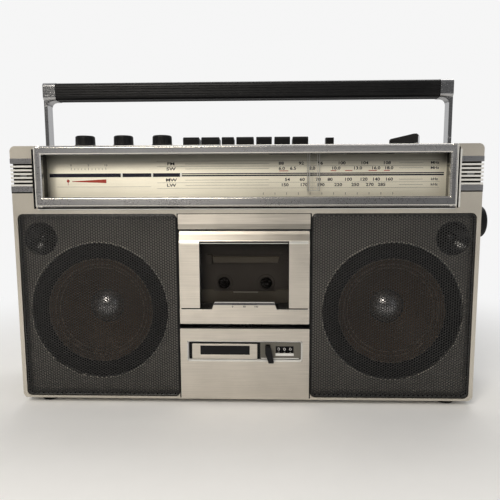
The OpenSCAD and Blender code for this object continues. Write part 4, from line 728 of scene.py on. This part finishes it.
for k in range(11):
    tick(ink, LEVEL_X + LEVEL_STEP * k, 0.15, 234.4, 236.0 if k % 5 else 236.8)
for k, words in enumerate(("0", "5", "10")):
    ink.text(words, LEVEL_X + 5 * LEVEL_STEP * k, DIAL_Y, 238.9, 1.9, 1.3, FILM)
rule(ink, -186, -92.3, 217.9, 0.18)
ink.piece("dial_print", dark_print, "cabinet", "black_plastic")
red_ink.piece("dial_red_print", red_print, "cabinet", "black_plastic")
white_ink.piece("dial_white_print", white_print, "cabinet", "white_plastic")


# Highlights painted as pale strips along the edges of the clear pointer

pointer_low, pointer_high = node_box("dial_pointer")
glint_y = (pointer_low.y - 0.12, pointer_low.y)
glint_z = (pointer_low.z + 0.6, pointer_high.z - 0.6)
glint_x = (pointer_low.x + 0.4, pointer_high.x - 0.4)
glints = Build()
for x in (pointer_low.x + 0.35, pointer_low.x + 2.2, pointer_high.x - 2.2, pointer_high.x - 0.35):
    glints.box((x - 0.22, x + 0.22), glint_y, glint_z)
for z in (pointer_low.z + 0.5, pointer_high.z - 0.5):
    glints.box(glint_x, glint_y, (z - 0.2, z + 0.2))
glints.piece("pointer_edge_highlights", painted_highlight, "dial_pointer", "clear_acrylic")


# Dark strips painted as shade in the seams round the dial frame, and pale lips painted as highlights along
# its edges and the rim beside the right end block

BLOCK_INNER = 204.4
BLOCK_OUTER = 225.2
SEAM_ENDS = {-1: 203.9, 1: 202.9}

frame_low, frame_high = node_box("dial_bezel")
frame_half, frame_front = frame_high.x, frame_low.y
seam_shade, frame_lip_highlights = Build(), Build()
seam_shade.box((-200.4, 200.4), (-0.5, 0.1), (197.0, 198.5))
frame_lip_highlights.box((-frame_half - 0.8, frame_half + 0.8), (-0.35, 0.1), (195.9, 196.9))
for side in (-1, 1):
    frame_lip_highlights.box(span(side, frame_half - 1.0, frame_half - 0.2), (frame_front - 0.02, frame_front + 0.1),
                   (frame_low.z + 1.0, frame_high.z - 1.5))
    seam_shade.box(span(side, frame_half + 2.1, SEAM_ENDS[side]), (-0.4, 0.1), (197.0, 254.0))
    seam_shade.box(span(side, BLOCK_INNER, BLOCK_OUTER - 0.1), (-0.2, 0.1), (212.0, 213.2))
frame_lip_highlights.box((SEAM_ENDS[1], BLOCK_INNER), (-0.42, 0.1), (197.6, 252.0))
seam_shade.piece("frame_seam_shade", rubber, "cabinet", "rubber", 0.1)
frame_lip_highlights.piece("frame_lip_highlights", painted_highlight, "cabinet", "silver_plastic")


# Pale faces painted on the ribs of the end blocks as their highlights, and the plates above and below them

RIBS = 6
RIB_LOW = 218.7
RIB_PITCH = 3.6
PLATE_HEIGHTS = ((213.3, 218.6), (240.4, 245.3))
PLATE_OUTLINE = ((BLOCK_INNER, -0.3), (BLOCK_OUTER, -0.3), (BLOCK_OUTER, 20.0), (BLOCK_OUTER - 0.3, 20.0),
                 (BLOCK_OUTER - 0.3, 0.05), (BLOCK_INNER, 0.05))

rib_highlights, plates = Build(), Build()
for side in (-1, 1):
    for k in range(RIBS):
        low = RIB_LOW + RIB_PITCH * k
        rib_highlights.box(span(side, BLOCK_INNER, BLOCK_OUTER - 0.6), (-0.14, 0.05), (low + 0.15, low + 1.75))
for z0, z1 in PLATE_HEIGHTS:
    plates.slab(PLATE_OUTLINE, z0, z1)
    plates.slab([(-x, y) for x, y in reversed(PLATE_OUTLINE)], z0, z1)
rib_highlights.piece("rib_highlight_faces", painted_highlight, "cabinet", "silver_plastic", 0.05)
plates.piece("end_plates", pitted_chrome, "cabinet", "brushed_aluminium", 0.12)


# Lower panel: recess frame painted pale as its sheen, bare badge tile, counter plate with pale lips painted
# as highlights, reset lever and numerals

RECESS_PROFILE = ((0.05, -1.45), (0.35, -1.45), (1.5, 0.2), (1.5, 2.6), (0.05, 2.6))
LEVER_OUTLINE = ((23.6, 44.9), (28.5, 44.9), (28.9, 46.4), (25.7, 60.9), (20.4, 60.9), (20.4, 54.6),
                 (23.0, 47.0))
TILE_HOLE = (-44.0, 5.0, 52.0, 61.2)
COUNTER_HOLES = ((30.8, 48.4, 53.6, 60.6), (20.6, 25.4, 51.7, 62.3))
LIP_Y = (0.2, 0.7)

recess_frame, tile, counter, lip, lever = Build(), Build(), Build(), Build(), Build()
recess_frame.ring(RECESS_PROFILE, (-57, 57), (45.5, 66.3), 2.6)
recess_frame.piece("recess_frame", painted_highlight, "cabinet", "brushed_aluminium", 0.1)
tile.pierced((-52.2, 12.5), (47.6, 63.1), (-0.35, 0.18), [TILE_HOLE])
tile.piece("badge_tile", brushed_aluminium, "cabinet", "brushed_aluminium", 0.2)
counter.pierced((15.5, 55.2), (47.3, 64.4), (0.7, 1.18), COUNTER_HOLES)
counter.piece("counter_plate", olive_plastic, "cabinet", "graphite_plastic", 0.2)
lip.box((30.6, 48.6), LIP_Y, (50.9, 53.5))
lip.box((16.2, 53.5), LIP_Y, (47.9, 48.7))
lip.piece("counter_lip_highlight", painted_highlight, "cabinet", "brushed_aluminium", 0.2)
lever.prism(LEVER_OUTLINE, -5.2, -4.15)
lever.box((21.4, 24.6), (-4.2, -3.8), (53.2, 60.2))
lever.piece("reset_lever", black_plastic, "counter_reset", "black_plastic", 0.3)

drum_low, drum_high = node_box("counter_units_drum")
drum_y = (drum_low.y + drum_high.y) / 2
drum_z = (drum_low.z + drum_high.z) / 2
drum_radius = (drum_high.z - drum_low.z) / 2


def drum_digits(name, places, body):
    """Ten numerals round each number drum, the 0 towards the window."""
    made = Build()
    for x in places:
        for digit in range(10):
            flat = Build()
            flat.text(str(digit), x, 0.0, 0.0, 3.1, 1.15, 0.03)
            turned = []
            for px, py, pz in flat.points:
                reach = drum_radius - py
                a = math.radians(36 * digit) + pz / drum_radius
                turned.append((px, drum_y - reach * math.cos(a), drum_z + reach * math.sin(a)))
            made.add(turned, flat.faces)
    made.piece(name, white_print, body, "white_plastic")


drum_digits("counter_carry_digits", (33.8, 39.6), "cabinet")
drum_digits("counter_units_digits", (45.4,), "counter_units_drum")


# Moulded cover of the deck, seen through the cassette window

SPINDLES_X = (-21.25, 21.25)
SPINDLE_Z = 121.0
OPENING_HALF = 6.2
OPENING_Z = (SPINDLE_Z - OPENING_HALF, SPINDLE_Z + OPENING_HALF)
COLLAR_PROFILE = ((6.0, 19.8), (6.0, 18.2), (6.6, 17.8), (8.6, 18.2), (9.2, 19.8))
COVER_FRONT = 18.95

cover, ledge, line = Build(), Build(), Build()
cover.pierced((-45.0, 45.0), (100.5, 171.0), (18.9, 20.0),
              [(x - OPENING_HALF, x + OPENING_HALF, *OPENING_Z) for x in SPINDLES_X])
for x in SPINDLES_X:
    cover.lathe(COLLAR_PROFILE, x, SPINDLE_Z, 48)
cover.box((-45.0, 45.0), (17.6, COVER_FRONT), (150.5, 171.0))
cover.box((-38.0, -32.8), (14.0, COVER_FRONT), (140.5, 150.4))
cover.piece("deck_cover", deck_plastic, "cabinet", "black_plastic", 0.3)
ledge.prism([(-31, 142.0), (33, 142.0), (34.5, 148.3), (-32.5, 148.3)], 14.6, COVER_FRONT)
ledge.prism([(-45.0, 100.5), (45.0, 100.5), (45.0, 114.4), (31.5, 114.4), (30.6, 112.6), (11.5, 112.6),
             (-11.5, 112.6), (-30.6, 112.6), (-31.5, 114.4), (-45.0, 114.4)], 17.3, COVER_FRONT)
ledge.piece("deck_ledge", deck_ledge, "cabinet", "graphite_plastic", 0.3)
# A pale strip painted along the ledge's edge as its highlight
line.box((-11.8, 13.2), (16.6, 17.35), (111.4, 112.3))
line.piece("deck_edge_highlight", painted_highlight, "cabinet", "graphite_plastic", 0.1)


# Gauge marks on the tab of the door's lower plate, highlights of the window painted as pale strips, and shade
# painted as black strips in the gaps below the pillars

GAUGE_HALF = 11.5
GAUGE_STEPS = 20

strip, gauge, glint, gap_shade = Build(), Build(), Build(), Build()
strip.prism([(-30.0, 102.9), (30.0, 102.9), (28.9, 105.75), (-28.9, 105.75)], -3.1, -2.9)
strip.piece("gauge_strip", smoke_grey, "cassette_door", "smoked_acrylic", 0.1)
for k in range(GAUGE_STEPS + 1):
    x = -GAUGE_HALF + 2 * GAUGE_HALF * k / GAUGE_STEPS
    gauge.box((x - 0.25, x + 0.25), (-3.2, -3.05), (103.0, 104.2 if k % 5 else 104.8))
for x, words in ((-GAUGE_HALF, "0"), (0.0, "50"), (GAUGE_HALF, "100")):
    gauge.text(words, x, -3.0, 101.4, 1.7, 1.1, FILM, 0.06)
gauge.piece("door_gauge_marks", dark_print, "cassette_door", "black_plastic")
# Pale strips on the tab's top edge and across the window, painted as highlights
glint.prism([(-29.2, 105.3), (29.2, 105.3), (29.0, 105.85), (-29.0, 105.85)], -3.16, -3.0)
glint.box((-42.8, 42.8), (-0.9, -0.8), (163.0, 163.5))
glint.piece("window_glints", painted_highlight, "cassette_door", "smoked_acrylic")
# Black strips in the gaps below the pillars, painted as shade
for side in (-1, 1):
    gap_shade.box(span(side, 43.5, 61.9), (-2.08, -1.9), (98.5, 99.6))
gap_shade.piece("pillar_gap_shade", rubber, "cassette_door", "black_plastic")


# Marks on the keys and knobs

KEY_GAP = 2.65
KEY_MARK_Y = 52.5
KEY_MARK_HEIGHTS = (267.6, 268.02)
KEY_WIDTHS = {"record": 16.2, "play": 18.4, "search": 12.4, "rewind": 17.8, "forward": 16.1,
              "stop_eject": 16.0, "pause": 15.9}
KNOB_TOP = 269.9
KNOBS = (("volume_knob", -166.6), ("balance_knob", -126.5), ("tone_knob", -86.2))


def arrow(x, y, way):
    corners = [(x + 1.5 * way, y), (x - 1.3 * way, y + 1.5), (x - 1.3 * way, y - 1.5)]
    return corners if way > 0 else corners[::-1]


def bar(x, y, half_width, half_height):
    return [(x - half_width, y - half_height), (x + half_width, y - half_height),
            (x + half_width, y + half_height), (x - half_width, y + half_height)]


def eject_roof(x, y):
    return [(x - 1.5, y - 0.3), (x + 1.5, y - 0.3), (x, y + 1.5)]


KEY_MARKS = {
    "record": lambda x, y: [disc(x, y, 1.5, 24)],
    "play": lambda x, y: [arrow(x, y, 1)],
    "search": lambda x, y: [arrow(x - 0.6, y, 1), bar(x + 1.5, y, 0.3, 1.5)],
    "rewind": lambda x, y: [arrow(x - 1.5, y, -1), arrow(x + 1.5, y, -1)],
    "forward": lambda x, y: [arrow(x - 1.5, y, 1), arrow(x + 1.5, y, 1)],
    "stop_eject": lambda x, y: [bar(x - 2.2, y, 1.3, 1.3), eject_roof(x + 2.1, y),
                                bar(x + 2.1, y - 1.1, 1.5, 0.3)],
    "pause": lambda x, y: [bar(x - 0.9, y, 0.4, 1.5), bar(x + 0.9, y, 0.4, 1.5)],
}

left = -(sum(KEY_WIDTHS.values()) + KEY_GAP * (len(KEY_WIDTHS) - 1)) / 2
for key, width in KEY_WIDTHS.items():
    marks = Build()
    for outline in KEY_MARKS[key](left + width / 2, KEY_MARK_Y):
        marks.slab(outline, *KEY_MARK_HEIGHTS)
    print_colour = red_print if key == "record" else white_print
    marks.piece("key_" + key + "_mark", print_colour, "key_" + key, "white_plastic")
    left += width + KEY_GAP

for knob, x in KNOBS:
    mark = Build()
    mark.slab(bar(x, 40.9, 0.45, 2.3), KNOB_TOP - 0.05, KNOB_TOP + 0.1)
    mark.piece(knob + "_mark", white_print, knob, "white_plastic")


# Bright trim on the wing of the band selector, drawn along x and then turned

BAND_KNOB = (162.0, 45.5)
WING_TURN = math.radians(-25)

wing = Build()
wing.box((14.15, 14.5), (-4.2, 4.2), (260.2, 267.6))
wing.box((-14.0, 14.5), (-4.55, -4.15), (260.2, 261.0))
wing.points = [(BAND_KNOB[0] + x * math.cos(WING_TURN) - y * math.sin(WING_TURN),
                BAND_KNOB[1] + x * math.sin(WING_TURN) + y * math.cos(WING_TURN), z)
               for x, y, z in wing.points]
wing.piece("band_knob_trim", bright_chrome, "band_knob", "chrome", 0.1)


# Camera, at the photograph's place

CAMERA_PLACE = at(21.9, -499.3, 217.7)
YAW, PITCH_DOWN, ROLL = 1.86, -6.96, 0.23
FOCAL_LENGTH = 37.44
SENSOR_WIDTH = 36.0

turn = (Matrix.Rotation(math.radians(YAW), 3, "Z") @ Matrix.Rotation(math.radians(PITCH_DOWN), 3, "X")
        @ Matrix.Rotation(math.radians(ROLL), 3, "Y"))
right, up, back = turn @ Vector((1, 0, 0)), turn @ Vector((0, 0, 1)), turn @ Vector((0, -1, 0))
lens = bpy.data.cameras.new("photo_camera")
lens.lens = FOCAL_LENGTH
lens.sensor_width = SENSOR_WIDTH
camera = add_object("photo_camera", lens)
camera.matrix_world = Matrix((*zip(right, up, back, CAMERA_PLACE), (0, 0, 0, 1)))
scene.camera = camera


# Lamps

def lamp(name, place, target, size, power, colour):
    """Soft rectangular lamp that points at a target."""
    data = bpy.data.lights.new(name, "AREA")
    data.shape = "RECTANGLE"
    data.size, data.size_y = size
    data.energy = power
    data.color = colour
    made = add_object(name, data)
    made.location = place
    made.rotation_mode = "QUATERNION"
    made.rotation_quaternion = (Vector(target) - Vector(place)).to_track_quat("-Z", "Y")


lamp("key_lamp", (-0.36, -1.05, 0.86), (0, 0, 0.18), (0.5, 0.45), 10.0, (1.0, 0.94, 0.85))
lamp("fill_lamp", (1.15, -0.9, 0.55), (0, 0, 0.14), (0.9, 0.9), 1.8, (0.92, 0.95, 1.0))
lamp("top_lamp", (0.1, 0.55, 1.35), (0, 0, 0.2), (1.2, 0.6), 7.0, (1.0, 0.98, 0.95))


# World: pale to the camera, darker in front of the part for what mirrors it, and a low even light

BACKDROP = 0.92
EVEN_LIGHT = 0.34
WHITE = (1.0, 1.0, 1.0, 1.0)

world = bpy.data.worlds.new("studio")
world.use_nodes = True
scene.world = world
tree = world.node_tree
path = put(tree, "ShaderNodeLightPath").outputs
axes = put(tree, "ShaderNodeSeparateXYZ", {0: put(tree, "ShaderNodeTexCoord").outputs["Generated"]})
mirror_tone = ranged(tree, axes.outputs["Y"], -0.9, 0.4, 0.15, 0.85)
seen = path["Is Camera Ray"]
mirrored = math_node(tree, "MAXIMUM", path["Is Glossy Ray"], path["Is Transmission Ray"])
shown = math_node(tree, "ADD", math_node(tree, "MULTIPLY", mirrored, mirror_tone),
                  math_node(tree, "MULTIPLY", seen, BACKDROP), clamp=True)
hidden = math_node(tree, "SUBTRACT", 1.0, math_node(tree, "MAXIMUM", seen, mirrored))
level = math_node(tree, "ADD", shown, math_node(tree, "MULTIPLY", hidden, EVEN_LIGHT))
sky = put(tree, "ShaderNodeBackground", {"Color": WHITE, "Strength": level})
tree.links.new(sky.outputs[0], tree.nodes["World Output"].inputs["Surface"])


# Floor, which fades into the backdrop away from the part

FLOOR_HALF = 6.0
FADE = (0.26, 0.66)

pale_floor = surface("pale_floor", (0.90, 0.90, 0.895), 0.75, 0.0, 40.0, mottle=0.01, bump=0.0, specular=0.2)
tree = pale_floor.node_tree
away = put(tree, "ShaderNodeVectorMath", {0: object_place(tree)}, operation="LENGTH").outputs["Value"]
far = put(tree, "ShaderNodeMapRange", {0: away, 1: FADE[0], 2: FADE[1]}, interpolation_type="SMOOTHSTEP")
camera_ray = put(tree, "ShaderNodeLightPath").outputs["Is Camera Ray"]
fade = math_node(tree, "MULTIPLY", far.outputs[0], camera_ray)
glow = put(tree, "ShaderNodeEmission", {"Color": WHITE, "Strength": BACKDROP}).outputs[0]
floor_mix = put(tree, "ShaderNodeMixShader", {0: fade, 1: tree.nodes["Principled BSDF"].outputs[0], 2: glow})
tree.links.new(floor_mix.outputs[0], tree.nodes["Material Output"].inputs["Surface"])
floor_corners = [(-FLOOR_HALF, -FLOOR_HALF, 0), (FLOOR_HALF, -FLOOR_HALF, 0), (FLOOR_HALF, FLOOR_HALF, 0),
                 (-FLOOR_HALF, FLOOR_HALF, 0)]
floor_mesh = bpy.data.meshes.new("floor")
floor_mesh.from_pydata(floor_corners, [], [(0, 1, 2, 3)])
floor_mesh.materials.append(pale_floor)
floor = add_object("floor", floor_mesh)

scene.view_settings.view_transform = "Standard"
